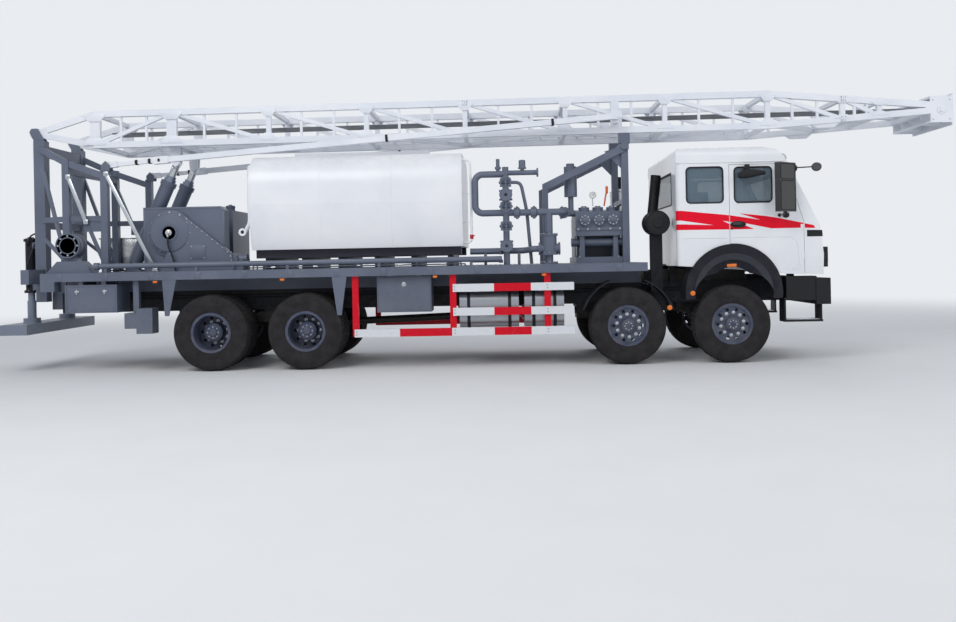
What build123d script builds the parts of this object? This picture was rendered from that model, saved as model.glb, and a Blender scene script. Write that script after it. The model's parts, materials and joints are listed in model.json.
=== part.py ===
"""Truck-mounted flush-by rig: an 8x4 carrier with a lattice mast that pivots up over its tail,
a water tank, a triplex pump and a drawworks. Millimetres, +X forward, +Y to the left, +Z up.
The origin is on the ground, at the middle of the overall length and width."""

import os
from math import cos, radians, sin, sqrt

from build123d import *

os.makedirs("parts", exist_ok=True)

# Wheels and axles
tyre_radius = 545
tyre_width = 300
bead_radius = 262
rim_flange_radius = 288
rim_gap = 0.3
twin_gap = 30
outer_face_y = 1220
front_axle_x = 3535
steer_spacing = 1450
wheelbase = 4550
bogie_spacing = 1350
axle_2_x = front_axle_x - steer_spacing
axle_3_x = axle_2_x - wheelbase
axle_4_x = axle_3_x - bogie_spacing
wheel_y = outer_face_y - tyre_width / 2
kingpin_y = 905
spindle_radius = 42
twin_pitch = tyre_width + twin_gap

# Chassis frame
rail_outer_y = 430
rail_width = 80
rail_bottom = 830
rail_top = 1130
rail_rear_x = -6300
rail_front_x = 4640
rail_skin = 14

# Deck and what hangs from it
deck_rear_x = -6225
deck_front_x = 2365
deck_half_width = 1250
deck_top = 1430
deck_bottom = 1310
deck_plate = 25
deck_edge = 60
deck_end_depth = 140

# Cab
cab_rear_x = 2785
cab_half_width = 1220
cab_wall = 45
cab_floor_z = 1370
cab_seam_z = 2800
roof_top_z = 3020
door_rear_x = 3515
door_front_x = 4545
door_bottom_z = 1215
door_gap = 6
seat_gap = 0.3
arch_x = 3560
arch_z = 990
arch_radius = 672
arch_lip = 100

# Mast
mast_half_width = 600
chord = 90
post = 70
wide_post = 150
brace = 55
lacing = 35
pivot_x = -6570
pivot_z = 3514
foot_radius = 85
foot_thickness = 50
foot_pin = 35
truss_rear_x = -5690
truss_bend_x = 4243
truss_front_x = 6580
mast_tip_x = 6905
top_rear_z = 3825
bottom_rear_z = 3275
top_bend_z = 3890
bottom_bend_z = 3337
top_front_z = 3677
bottom_front_z = 3501
# Places of the posts along the mast, the two widest first
wide_posts = (-5668, -4521)
mast_posts = (*wide_posts, -3076, -1625, -170, 1300, 2753, 4243, 5326, 5855)

# Telescopic side struts
strut_y = 850
strut_foot_x = -5402
strut_foot_z = 2992
strut_eye_x = 2014
strut_eye_z = 3537
strut_tube = 80
strut_rod = 56

# Lift cylinders
lift_y = 400
lift_foot_x = -5225
lift_foot_z = 1500
lift_eye_x = -4530
lift_eye_z = 3042
lift_barrel_radius = 105
lift_stage_radii = (88, 72, 56)
lift_play = 0.5

# Rear frame
column_x = -6495
column_size = 160
column_top_z = 3400
column_bottom_z = 1010
post_size = 100
post_1_x = -6003
post_2_x = -5440
clevis_play = 3
lug_thickness = 25

# Rear jacks
jack_x = -6705
jack_y = 554
jack_beam_top = 700
jack_beam_depth = 150
jack_beam_reach = 200
jack_beam_half_length = 1100
jack_barrel_radius = 75
jack_rod_radius = 50
jack_play = 0.5

# Tank
tank_rear_x = -3235
tank_front_x = -215
tank_bottom = 1710
mast_over_tank = 215
tank_top = bottom_rear_z - mast_over_tank
tank_half_width = 1210
skirt_bottom = 1590

sides = (("right", -1), ("left", 1))
written = []


def save(part, name):
    """Label a finished piece and write its file."""
    part.label = name
    export_step(part, f"parts/{name}.step")
    written.append(name)


def bar(start, end, wide, high, across=(0, 1, 0)):
    """One straight member of rectangular section, `wide` along `across`."""
    run = Vector(*end) - Vector(*start)
    with BuildSketch(Plane(origin=start, x_dir=across, z_dir=run)) as section:
        Rectangle(wide, high)
    return extrude(section.sketch, amount=run.length, mode=Mode.PRIVATE)


def rod(start, end, radius):
    """One straight round member."""
    run = Vector(*end) - Vector(*start)
    with BuildSketch(Plane(origin=start, z_dir=run)) as section:
        Circle(radius)
    return extrude(section.sketch, amount=run.length, mode=Mode.PRIVATE)


def block(low, high):
    """A rectangular block between its lowest and highest corners."""
    size = [b - a for a, b in zip(low, high)]
    with BuildPart(Plane(origin=low)) as made:
        Box(*size, align=(Align.MIN, Align.MIN, Align.MIN))
    return made.part


def side_plate(points, y_low, y_high):
    """A plate whose outline is given in (x, z), between two planes across the truck."""
    plane = Plane(origin=(0, y_low, 0), x_dir=(1, 0, 0), z_dir=(0, -1, 0))
    with BuildPart() as made:
        with BuildSketch(plane):
            with BuildLine():
                Polyline(*points, close=True)
            make_face()
        extrude(amount=y_low - y_high)
    return made.part


def turned(profile, centre):
    """A round piece about an axis across the truck; profile holds (offset, radius) corners."""
    plane = Plane(origin=centre, x_dir=(0, 1, 0), z_dir=(1, 0, 0))
    with BuildPart() as made:
        with BuildSketch(plane):
            with BuildLine():
                Polyline(*profile, close=True)
            make_face()
        revolve(axis=Axis(centre, (0, 1, 0)))
    return made.part


# Tyres and rims
bead_half = 115
bead_top = 300
sidewall_radius = 415
shoulder_half = 132
shoulder_radius = 524
lip_half = 127
barrel_radius = 250
disc_outer = 108
disc_thickness = 14
drum_radius = 205
drum_half = 70
hub_radius = 95
bearing_play = 0.5
bore_radius = spindle_radius + bearing_play
hand_hole_radius = 24
hand_hole_circle = 205


def tyre(x, y):
    """A tyre as a revolved section: beads, bulging sidewalls and a crowned tread."""
    centre = (x, y, tyre_radius)
    with BuildPart() as made:
        with BuildSketch(Plane(origin=centre, x_dir=(0, 1, 0), z_dir=(1, 0, 0))):
            with BuildLine():
                Polyline(
                    (-bead_half, bead_top),
                    (-bead_half, bead_radius),
                    (bead_half, bead_radius),
                    (bead_half, bead_top),
                )
                for side in (-1, 1):
                    ThreePointArc(
                        (side * bead_half, bead_top),
                        (side * tyre_width / 2, sidewall_radius),
                        (side * shoulder_half, shoulder_radius),
                    )
                ThreePointArc(
                    (-shoulder_half, shoulder_radius),
                    (0, tyre_radius),
                    (shoulder_half, shoulder_radius),
                )
            make_face()
        revolve(axis=Axis(centre, (0, 1, 0)))
    return made.part


def hand_holes(centre, reach):
    """Ten round cutters through a wheel disc."""
    cutters = []
    plane = Plane(origin=centre, x_dir=(1, 0, 0), z_dir=(0, 1, 0))
    with BuildPart() as made:
        with BuildSketch(plane.offset(-reach / 2)):
            with PolarLocations(hand_hole_circle, 10):
                Circle(hand_hole_radius)
        extrude(amount=reach)
    cutters.append(made.part)
    return cutters


seat_radius = bead_radius - rim_gap
seat_half = bead_half + rim_gap


def single_rim(x, side):
    """A flat-disc steel wheel with its hub and brake drum, for a steered axle."""
    profile = [
        (-lip_half, rim_flange_radius),
        (-seat_half, rim_flange_radius),
        (-seat_half, seat_radius),
        (seat_half, seat_radius),
        (seat_half, rim_flange_radius),
        (lip_half, rim_flange_radius),
        (lip_half, barrel_radius),
        (disc_outer, barrel_radius),
        (disc_outer, hub_radius),
        (disc_outer + 45, hub_radius),
        (disc_outer + 60, hub_radius - 25),
        (disc_outer + 60, 0),
        (disc_outer, 0),
        (disc_outer, bore_radius),
        (-drum_half, bore_radius),
        (-drum_half, drum_radius),
        (drum_half, drum_radius),
        (drum_half, hub_radius + 20),
        (disc_outer - disc_thickness, hub_radius + 20),
        (disc_outer - disc_thickness, barrel_radius),
        (-lip_half, barrel_radius),
    ]
    centre = (x, side * wheel_y, tyre_radius)
    with BuildPart() as made:
        add(turned([(side * offset, radius) for offset, radius in profile], centre))
        disc_centre = (x, side * (wheel_y + disc_outer), tyre_radius)
        add(hand_holes(disc_centre, disc_thickness * 3), mode=Mode.SUBTRACT)
    return made.part


def twin_rim(x, side):
    """Two rims back to back on one hub, the outer one deeply dished."""
    pitch = twin_pitch
    middle = pitch / 2
    profile = [
        (lip_half, rim_flange_radius),
        (seat_half, rim_flange_radius),
        (seat_half, seat_radius),
        (-seat_half, seat_radius),
        (-seat_half, rim_flange_radius),
        (-lip_half, rim_flange_radius),
        (-lip_half, seat_radius),
        (lip_half - pitch, seat_radius),
        (lip_half - pitch, rim_flange_radius),
        (seat_half - pitch, rim_flange_radius),
        (seat_half - pitch, seat_radius),
        (-seat_half - pitch, seat_radius),
        (-seat_half - pitch, rim_flange_radius),
        (-lip_half - pitch, rim_flange_radius),
        (-lip_half - pitch, barrel_radius),
        (-middle - disc_thickness, barrel_radius),
        (-middle - disc_thickness, drum_radius),
        (-pitch - drum_half, drum_radius),
        (-pitch - drum_half, bore_radius),
        (-10, bore_radius),
        (-10, 0),
        (20, 0),
        (20, 95),
        (-5, 133),
        (-middle + disc_thickness, 133),
        (-middle + disc_thickness, barrel_radius),
        (lip_half, barrel_radius),
    ]
    centre = (x, side * wheel_y, tyre_radius)
    with BuildPart() as made:
        add(turned([(side * offset, radius) for offset, radius in profile], centre))
        disc_centre = (x, side * (wheel_y - middle), tyre_radius)
        add(hand_holes(disc_centre, disc_thickness * 4), mode=Mode.SUBTRACT)
    return made.part


# One row for each axle: its number, place along the truck, and whether it steers
axles = (
    (1, front_axle_x, True),
    (2, axle_2_x, True),
    (3, axle_3_x, False),
    (4, axle_4_x, False),
)
for number, x, steers in axles:
    for name, side in sides:
        tyre_ys = [wheel_y] if steers else [wheel_y, wheel_y - twin_pitch]
        tyres = Compound(children=[tyre(x, side * y) for y in tyre_ys])
        save(tyres, f"tyre_{number}_{name}")
        rim = single_rim(x, side) if steers else twin_rim(x, side)
        save(rim, f"rim_{number}_{name}")

# Steering knuckles: a fork on the kingpin and the spindle that the hub turns on
knuckle_half_height = 130
knuckle_arm = 40
kingpin_radius = 28
beam_eye_half = 75
eye_play = 1
spindle_tip_y = wheel_y + disc_outer - 5
knuckle_outer_y = wheel_y - drum_half - 8
knuckle_inner_y = kingpin_y + 55
knuckle_half_x = 62
fork_half_x = 40
fork_reach = 38
for number, x, steers in axles:
    if not steers:
        continue
    for name, side in sides:
        with BuildPart() as knuckle:
            near, far = sorted((side * knuckle_inner_y, side * knuckle_outer_y))
            low, high = (x - knuckle_half_x, near), (x + knuckle_half_x, far)
            add(
                block(
                    (*low, tyre_radius - knuckle_half_height),
                    (*high, tyre_radius + knuckle_half_height),
                )
            )
            for up in (-1, 1):
                near_z = tyre_radius + up * (beam_eye_half + eye_play)
                far_z = tyre_radius + up * knuckle_half_height
                inner, outer = kingpin_y - fork_reach, knuckle_inner_y + 1
                add(
                    block(
                        (x - fork_half_x, min(side * inner, side * outer), min(near_z, far_z)),
                        (x + fork_half_x, max(side * inner, side * outer), max(near_z, far_z)),
                    )
                )
            add(
                rod(
                    (x, side * (knuckle_outer_y - 10), tyre_radius),
                    (x, side * spindle_tip_y, tyre_radius),
                    spindle_radius,
                )
            )
            add(
                rod(
                    (x, side * kingpin_y, tyre_radius - knuckle_half_height),
                    (x, side * kingpin_y, tyre_radius + knuckle_half_height),
                    kingpin_radius,
                )
            )
            arm_z = tyre_radius - knuckle_half_height + 25
            arm_start = (x - 20, side * (kingpin_y - 5), arm_z)
            add(bar(arm_start, (x - 190, side * (kingpin_y - 25), arm_z), 50, 30))
        save(knuckle.part, f"knuckle_{number}_{name}")

# Front axle beams: dropped in the middle, with an eye for each kingpin
beam_drop = 95
beam_height = 95
beam_half_x = 45
with BuildPart() as front_axles:
    for number, x, steers in axles:
        if not steers:
            continue
        eye_inner = kingpin_y - 60
        low_z = tyre_radius - beam_drop - beam_height / 2
        top_z = tyre_radius - beam_drop + beam_height / 2
        outline = [
            (-eye_inner, tyre_radius - beam_eye_half),
            (-eye_inner + 150, low_z),
            (eye_inner - 150, low_z),
            (eye_inner, tyre_radius - beam_eye_half),
            (eye_inner, tyre_radius + beam_eye_half),
            (eye_inner - 180, top_z),
            (-eye_inner + 180, top_z),
            (-eye_inner, tyre_radius + beam_eye_half),
        ]
        with BuildSketch(Plane(origin=(x - beam_half_x, 0, 0), x_dir=(0, 1, 0), z_dir=(1, 0, 0))):
            with BuildLine():
                Polyline(*outline, close=True)
            make_face()
        extrude(amount=2 * beam_half_x)
        for side in (-1, 1):
            eye = (x, side * kingpin_y, tyre_radius - beam_eye_half)
            with BuildSketch(Plane(origin=eye)):
                Circle(50)
                with Locations((0, -side * 40)):
                    Rectangle(2 * beam_half_x, 80)
                Circle(kingpin_radius + bearing_play, mode=Mode.SUBTRACT)
            extrude(amount=2 * beam_eye_half)
save(front_axles.part, "front_axles")

# Rear axles: a tube with a round differential housing and the spindles at its ends
shaft_z = 600
gearbox_shaft_z = 720
shaft_radius = 55
axle_seat_z = tyre_radius + 95
leaf_width = 80
spring_y = rail_outer_y - rail_width / 2
gearbox_rear_x = 1450
axle_tube_radius = 75
differential_radius = 215
rear_inner_y = wheel_y - twin_pitch - drum_half
with BuildPart() as rear_axles:
    for number, x, steers in axles:
        if steers:
            continue
        tube_end = rear_inner_y - 10
        add(rod((x, -tube_end, tyre_radius), (x, tube_end, tyre_radius), axle_tube_radius))
        spindle_end = wheel_y - 15
        add(rod((x, -spindle_end, tyre_radius), (x, spindle_end, tyre_radius), spindle_radius))
        bowl = [
            (-150, 0),
            (-150, 90),
            (-90, differential_radius),
            (90, differential_radius),
            (150, 90),
            (150, 0),
        ]
        add(turned(bowl, (x, 0, tyre_radius)))
        add(rod((x, 0, shaft_z), (x + 330, 0, shaft_z), 85))
        for side in (-1, 1):
            seat_y = side * spring_y
            add(
                block(
                    (x - 90, seat_y - leaf_width / 2, tyre_radius),
                    (x + 90, seat_y + leaf_width / 2, axle_seat_z),
                )
            )
    add(rod((axle_4_x + 320, 0, shaft_z), (axle_3_x - 100, 0, shaft_z), shaft_radius))
    add(rod((axle_3_x + 320, 0, shaft_z), (gearbox_rear_x - 2.2, 0, gearbox_shaft_z), shaft_radius))
save(rear_axles.part, "rear_axles")

# Leaf springs: a stack that steps down in length under each rail
leaf_thickness = 16
leaf_count = 8
front_seat_z = tyre_radius - beam_drop + beam_height / 2
spring_lift = 120
spring_half = 640
leaf_step = 62
bogie_x = (axle_3_x + axle_4_x) / 2
bogie_half = bogie_spacing / 2 + 70
bogie_leaf = 20
bogie_leaves = 8
with BuildPart() as leaf_springs:
    for number, x, steers in axles:
        if not steers:
            continue
        for side in (-1, 1):
            for leaf in range(leaf_count):
                half = spring_half - leaf_step * leaf
                z = front_seat_z + seat_gap + (leaf_count - leaf) * leaf_thickness
                rise = spring_lift * (half / spring_half) ** 2
                with BuildSketch(
                    Plane(
                        origin=(x, side * spring_y + leaf_width / 2, z),
                        x_dir=(1, 0, 0),
                        z_dir=(0, -1, 0),
                    )
                ):
                    with BuildLine():
                        ThreePointArc((-half, rise), (0, 0), (half, rise))
                        Line((half, rise), (half, rise - leaf_thickness))
                        ThreePointArc(
                            (half, rise - leaf_thickness),
                            (0, -leaf_thickness),
                            (-half, rise - leaf_thickness),
                        )
                        Line((-half, rise - leaf_thickness), (-half, rise))
                    make_face()
                extrude(amount=leaf_width)
    for side in (-1, 1):
        near, far = sorted((side * spring_y - leaf_width / 2, side * spring_y + leaf_width / 2))
        for leaf in range(bogie_leaves):
            half = bogie_half - 80 * leaf
            low_z = axle_seat_z + seat_gap + leaf * bogie_leaf
            add(block((bogie_x - half, near, low_z), (bogie_x + half, far, low_z + bogie_leaf)))
save(leaf_springs.part, "leaf_springs")

# Chassis: two channel rails, cross members, and the hangers of the rear springs
rail_inner_y = rail_outer_y - rail_width
cross_members = (-6220, -4700, -3140, -1300, 200, 1250, 4100)
cross_height = 180
hanger_half = 35
with BuildPart() as chassis_frame:
    for side in (-1, 1):
        origin = (rail_rear_x, side * (rail_inner_y + rail_width / 2), (rail_bottom + rail_top) / 2)
        with BuildSketch(Plane(origin=origin, x_dir=(0, side, 0), z_dir=(1, 0, 0))):
            Rectangle(rail_width, rail_top - rail_bottom)
            with Locations((-rail_skin, 0)):
                Rectangle(
                    rail_width,
                    rail_top - rail_bottom - 2 * rail_skin,
                    mode=Mode.SUBTRACT,
                )
        extrude(amount=rail_front_x - rail_rear_x)
    for x in cross_members:
        add(
            block(
                (x - 60, -rail_outer_y + rail_skin, rail_bottom + rail_skin),
                (x + 60, rail_outer_y - rail_skin, rail_bottom + rail_skin + cross_height),
            )
        )
    spring_top_z = front_seat_z + seat_gap + leaf_count * leaf_thickness + spring_lift
    for side in (-1, 1):
        near, far = sorted((side * rail_inner_y, side * rail_outer_y))
        for x in (front_axle_x, axle_2_x):
            for end in (-1, 1):
                hanger = x + end * (spring_half - hanger_half)
                add(
                    block(
                        (hanger - hanger_half, near, spring_top_z + seat_gap),
                        (hanger + hanger_half, far, rail_bottom + 5),
                    )
                )
        for x, mount_top in ((cab_rear_x + 70, 1361), (rail_front_x - 45, 1227)):
            add(block((x - 45, near, rail_top - 5), (x + 45, far, mount_top)))
        bogie_top = axle_seat_z + bogie_leaves * bogie_leaf + 2 * seat_gap
        saddle = [
            (bogie_x - 75, bogie_top),
            (bogie_x + 75, bogie_top),
            (bogie_x + 190, rail_bottom + 20),
            (bogie_x - 190, rail_bottom + 20),
        ]
        near, far = sorted((side * (rail_inner_y + 5), side * (rail_outer_y - 5)))
        add(side_plate(saddle, near, far))
save(chassis_frame.part, "chassis_frame")

# Engine and gearbox: plain blocks between the rails, below the cab floor
with BuildPart() as engine:
    add(block((2450, -320, 700), (3950, 320, cab_floor_z - 60)))
    add(block((gearbox_rear_x, -180, 600), (2460, 180, 1020)))
    for x in (2600, 3800):
        add(block((x - 60, -(rail_outer_y - rail_skin), 900), (x + 60, rail_outer_y - rail_skin, 980)))
save(engine.part, "engine")

# Deck: plate, edge channels, cross bearers, the sub-frame on the rails, and below its edges
# the tapered brackets of the mud flaps and a parking leg ahead of the tail
flap_inner_y = 1226
flap_plate = 18
flap_top_z = deck_bottom + 10
# Corners of each bracket in (x, z), behind the last axle and ahead of the first of the bogie
flap_brackets = (
    ((-4478, flap_top_z), (-4277, flap_top_z), (-4389, 798), (-4447, 799)),
    ((-2070, flap_top_z), (-1857, flap_top_z), (-1937, 769), (-1997, 769)),
)
leg_x, leg_y, leg_size = -4888, 1120, 80
leg_foot_z = 628
with BuildPart() as deck:
    add(
        block(
            (deck_rear_x, -deck_half_width, deck_top - deck_plate),
            (deck_front_x, deck_half_width, deck_top),
        )
    )
    for side in (-1, 1):
        near, far = side * (deck_half_width - deck_edge), side * deck_half_width
        add(
            block(
                (deck_rear_x, min(near, far), deck_bottom),
                (deck_front_x, max(near, far), deck_top),
            )
        )
        near, far = side * rail_inner_y, side * rail_outer_y
        add(
            block(
                (deck_rear_x, min(near, far), rail_top),
                (deck_front_x, max(near, far), deck_top),
            )
        )
    for end in (deck_rear_x, deck_front_x - 80):
        add(block((end, -deck_half_width, deck_bottom), (end + 80, deck_half_width, deck_top)))
    bearer_count = 11
    pitch = (deck_front_x - deck_rear_x) / bearer_count
    for step in range(1, bearer_count):
        x = deck_rear_x + step * pitch
        add(block((x - 35, -deck_half_width, deck_bottom), (x + 35, deck_half_width, deck_top)))
    for side in (-1, 1):
        near, far = sorted((side * (deck_half_width - 200), side * deck_half_width))
        end_low = deck_bottom - deck_end_depth
        add(block((deck_rear_x, near, end_low), (deck_rear_x + 205, far, deck_bottom + 1)))
        near, far = sorted((side * flap_inner_y, side * (flap_inner_y + flap_plate)))
        for bracket in flap_brackets:
            add(side_plate(bracket, near, far))
        near, far = sorted((side * (leg_y - leg_size / 2), side * (leg_y + leg_size / 2)))
        leg_low, leg_high = leg_x - leg_size / 2, leg_x + leg_size / 2
        leg_top = deck_top - deck_plate + 1
        add(block((leg_low, near, leg_foot_z), (leg_high, far, leg_top)))
        near, far = sorted((side * (leg_y - 130), side * (leg_y + 110)))
        add(block((leg_low - 104, near, leg_foot_z), (leg_high - 14, far, leg_foot_z + 220)))
        add(block((leg_high - 15, near, leg_foot_z - 75), (leg_high + 215, far, leg_foot_z + 285)))
save(deck.part, "deck")

# Cab: two halves of shell below the drip seam, doors, roof, windows
arch_cut = arch_radius + door_gap
wind_base_z = 1900
wind_top_x = 4330
nose_x = 4810
wind_base_x = 4765
roof_front_x = 4225
cab_outline = [
    (cab_rear_x, cab_floor_z),
    (nose_x - 10, door_bottom_z),
    (nose_x, 1500),
    (wind_base_x, wind_base_z),
    (wind_top_x, cab_seam_z),
    (cab_rear_x, cab_seam_z),
]
door_outline = [
    (door_rear_x, door_bottom_z + 60),
    (door_front_x, door_bottom_z),
    (door_front_x, wind_base_z + 60),
    (door_front_x - 255, cab_seam_z - 30),
    (door_rear_x, cab_seam_z - 30),
]
quarter_window = (2925, 2240, 3435, 2740)
door_window = (3590, 2240, 4110, 2730)
window_corner = 60
windscreen_half_width = 1060
glass_thickness = 6
glass_play = seat_gap


def rounded_cut(window, y_low, y_high, corner=window_corner):
    """A cutter or pane with rounded corners, between two planes across the truck."""
    x_low, z_low, x_high, z_high = window
    middle = ((x_low + x_high) / 2, y_low, (z_low + z_high) / 2)
    with BuildPart() as made:
        with BuildSketch(Plane(origin=middle, x_dir=(1, 0, 0), z_dir=(0, -1, 0))):
            RectangleRounded(x_high - x_low, z_high - z_low, corner)
        extrude(amount=y_low - y_high)
    return made.part


def grow(window, by):
    """The same window, larger by a margin on every side."""
    return (window[0] - by, window[1] - by, window[2] + by, window[3] + by)


def arch_cylinder(x, z, radius, y_low, y_high):
    """A solid cylinder across the truck over a wheel."""
    return rod((x, y_low, z), (x, y_high, z), radius)


screen_rise = Vector(wind_top_x - wind_base_x, 0, cab_seam_z - wind_base_z)
screen_up = screen_rise.normalized()
screen_out = Vector(screen_up.Z, 0, -screen_up.X)
screen_height = 700
screen_middle = Vector(wind_base_x, 0, wind_base_z) + screen_up * (screen_rise.length / 2)
screen_plane = Plane(origin=screen_middle, x_dir=(0, 1, 0), z_dir=screen_out)
with BuildPart() as cab_shell:
    add(side_plate(cab_outline, -cab_half_width, cab_half_width))
    outer_edges = cab_shell.edges().filter_by(Axis.Z)
    fillet(outer_edges.filter_by_position(Axis.X, cab_rear_x - 1, cab_rear_x + 1), 60)
    inner = [
        (cab_rear_x + cab_wall, cab_floor_z + 60),
        (nose_x - cab_wall - 10, cab_floor_z + 60),
        (nose_x - cab_wall, 1500),
        (wind_base_x - cab_wall, wind_base_z),
        (wind_top_x - cab_wall, cab_seam_z + 1),
        (cab_rear_x + cab_wall, cab_seam_z + 1),
    ]
    inside = cab_half_width - cab_wall
    add(side_plate(inner, -inside, inside), mode=Mode.SUBTRACT)
    for side in (-1, 1):
        near, far = side * (inside - 1), side * (cab_half_width + 1)
        span = (min(near, far), max(near, far))
        add(side_plate(door_outline, *span), mode=Mode.SUBTRACT)
        add(rounded_cut(quarter_window, *span), mode=Mode.SUBTRACT)
        add(
            arch_cylinder(
                arch_x, arch_z, arch_radius + seat_gap, side * 850, side * (cab_half_width + 1)
            ),
            mode=Mode.SUBTRACT,
        )
    rear_pane = (-850, 850, 2240, 2700)
    add(
        block((cab_rear_x - 1, rear_pane[0], rear_pane[2]), (cab_rear_x + 60, rear_pane[1], rear_pane[3])),
        mode=Mode.SUBTRACT,
    )
    with BuildSketch(screen_plane.offset(-90)):
        RectangleRounded(2 * windscreen_half_width, screen_height, 90)
    extrude(amount=180, mode=Mode.SUBTRACT)
    add(block((2550, -330, 1100), (4000, 330, cab_floor_z + 20)), mode=Mode.SUBTRACT)
save(cab_shell.part, "cab_shell")

# Doors: hollow pans as thick as the wall, hinged at their front edges
hinge_x, hinge_y = door_front_x - 3, cab_half_width + 4
hinge_radius, hinge_length = 4.5, 70
hinge_zs = (1450, 1850)
mirror_turn = radians(35)
mirror_width, mirror_depth = 330, 90
mirror_low, mirror_high = 2088, 2760
for name, side in sides:
    with BuildPart() as door:
        near, far = side * (cab_half_width - cab_wall), side * cab_half_width
        span = (min(near, far), max(near, far))
        pan = [
            (door_rear_x + door_gap, door_bottom_z + 60),
            (door_front_x - door_gap, door_bottom_z + door_gap),
            (door_front_x - door_gap, wind_base_z + 57),
            (door_front_x - 255 - door_gap, cab_seam_z - 30 - door_gap),
            (door_rear_x + door_gap, cab_seam_z - 30 - door_gap),
        ]
        add(side_plate(pan, *span))
        reach = (min(near, far) - 5, max(near, far) + 5)
        add(rounded_cut(door_window, *reach), mode=Mode.SUBTRACT)
        add(
            arch_cylinder(arch_x, arch_z, arch_cut, *reach),
            mode=Mode.SUBTRACT,
        )
        handle_x = door_rear_x + 95
        face = side * cab_half_width
        stand_off = side * 30
        add(rod((handle_x, face - side, 1945), (handle_x, face + stand_off, 1945), 16))
        grip_low = (handle_x - 60, min(face + side * 18, face + stand_off + side * 8), 1925)
        grip_high = (handle_x + 60, max(face + side * 18, face + stand_off + side * 8), 1965)
        add(block(grip_low, grip_high))
        for z in hinge_zs:
            pin_low, pin_high = (hinge_x, side * hinge_y, z), (hinge_x, side * hinge_y, z + hinge_length)
            add(rod(pin_low, pin_high, hinge_radius))
            leaf_low, leaf_high = sorted((face - side, side * (hinge_y - 1)))
            add(block((hinge_x - 45, leaf_low, z), (hinge_x - 3, leaf_high, z + hinge_length)))
        bracket_x = door_front_x - 340
        arm_y = side * (cab_half_width + 230)
        for z in (2050, 2720):
            add(bar((bracket_x, face - side, z), (bracket_x, arm_y, z), 22, 22, (1, 0, 0)))
        add(rod((bracket_x, arm_y, 2035), (bracket_x, arm_y, 2735), 14))
        head_x, head_y = bracket_x + 30, arm_y - side * 25
        across = (cos(mirror_turn), -side * sin(mirror_turn), 0)
        low, high = (head_x, head_y, mirror_low), (head_x, head_y, mirror_high)
        add(bar(low, high, mirror_width, mirror_depth, across))
    save(door.part, f"door_{name}")
    with BuildPart() as pane:
        depth = side * (cab_half_width - cab_wall / 2)
        add(rounded_cut(grow(door_window, -glass_play), depth - 3, depth + 3))
    save(pane.part, f"door_glass_{name}")

# Fixed glass: windscreen, quarter panes and the rear pane
with BuildPart() as windscreen:
    with BuildSketch(screen_plane.offset(-30)):
        RectangleRounded(
            2 * (windscreen_half_width - glass_play), screen_height - 2 * glass_play, 90
        )
    extrude(amount=glass_thickness)
side_glass = [windscreen.part]
for side in (-1, 1):
    depth = side * (cab_half_width - cab_wall / 2)
    side_glass.append(rounded_cut(grow(quarter_window, -glass_play), depth - 3, depth + 3))
side_glass.append(
    block(
        (cab_rear_x + 20, rear_pane[0] + glass_play, rear_pane[2] + glass_play),
        (cab_rear_x + 26, rear_pane[1] - glass_play, rear_pane[3] - glass_play),
    )
)
save(Compound(children=side_glass), "cab_glass")

# Cab roof: a moulded shell with a raised crown that meets the shell at the drip seam
roof_outline = [
    (cab_rear_x, cab_seam_z),
    (wind_top_x, cab_seam_z),
    (roof_front_x - 20, roof_top_z - 50),
    (roof_front_x - 240, roof_top_z),
    (cab_rear_x + 60, roof_top_z),
    (cab_rear_x, roof_top_z - 60),
]
roof_inside = [
    (cab_rear_x + cab_wall, cab_seam_z - 1),
    (wind_top_x - cab_wall, cab_seam_z - 1),
    (roof_front_x - 60, roof_top_z - 90),
    (roof_front_x - 250, roof_top_z - cab_wall),
    (cab_rear_x + 80, roof_top_z - cab_wall),
    (cab_rear_x + cab_wall, roof_top_z - 100),
]
with BuildPart() as cab_roof:
    add(side_plate(roof_outline, -cab_half_width, cab_half_width))
    top_edges = cab_roof.edges().filter_by(Axis.X).group_by(Axis.Z)[-1]
    fillet(top_edges, 120)
    inside = cab_half_width - cab_wall
    add(side_plate(roof_inside, -inside + 60, inside - 60), mode=Mode.SUBTRACT)
save(cab_roof.part, "cab_roof")

# Cab inside: two seats, a bunk, the dash on its pedestal, steering column and wheel
dash_front_x = wind_base_x - cab_wall - 15
dash_low_z, dash_rear_x, dash_half_width = 1560, 4330, 1100
lining_z = cab_floor_z + 60
seat_y, seat_half_width, cushion_top_z = 560, 240, 1760
wheel_radius, wheel_rim = 235, 35
bunk_low, bunk_high = (2860, -860, lining_z), (3150, 860, 1780)
with BuildPart() as dash:
    dash_outline = [
        (dash_rear_x, dash_low_z),
        (dash_front_x, dash_low_z),
        (dash_front_x, 1830),
        (4400, 1900),
        (4300, 1820),
    ]
    add(side_plate(dash_outline, -dash_half_width, dash_half_width))
    add(block((dash_rear_x, -200, lining_z), (dash_front_x, 200, dash_low_z + 10)))
    wheel_hub = Vector(4130, seat_y, 1930)
    add(rod((4360, seat_y, 1740), tuple(wheel_hub), 30))
    wheel_plane = Plane(origin=wheel_hub, z_dir=(-0.75, 0, 0.62))
    with BuildSketch(wheel_plane):
        Circle(wheel_radius)
        Circle(wheel_radius - wheel_rim, mode=Mode.SUBTRACT)
        Rectangle(60, 2 * wheel_radius - wheel_rim - 25)
    extrude(amount=26, both=True)
with BuildPart() as seats:
    for y in (-seat_y, seat_y):
        low_y, high_y = y - seat_half_width, y + seat_half_width
        add(block((3330, low_y, lining_z), (3800, high_y, cushion_top_z)))
        back = [(3230, cushion_top_z), (3400, cushion_top_z), (3310, 2420), (3180, 2420)]
        add(side_plate(back, low_y, high_y))
    add(block(bunk_low, bunk_high))
save(Compound(children=[*dash.part.solids(), *seats.part.solids()]), "cab_interior")

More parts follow.
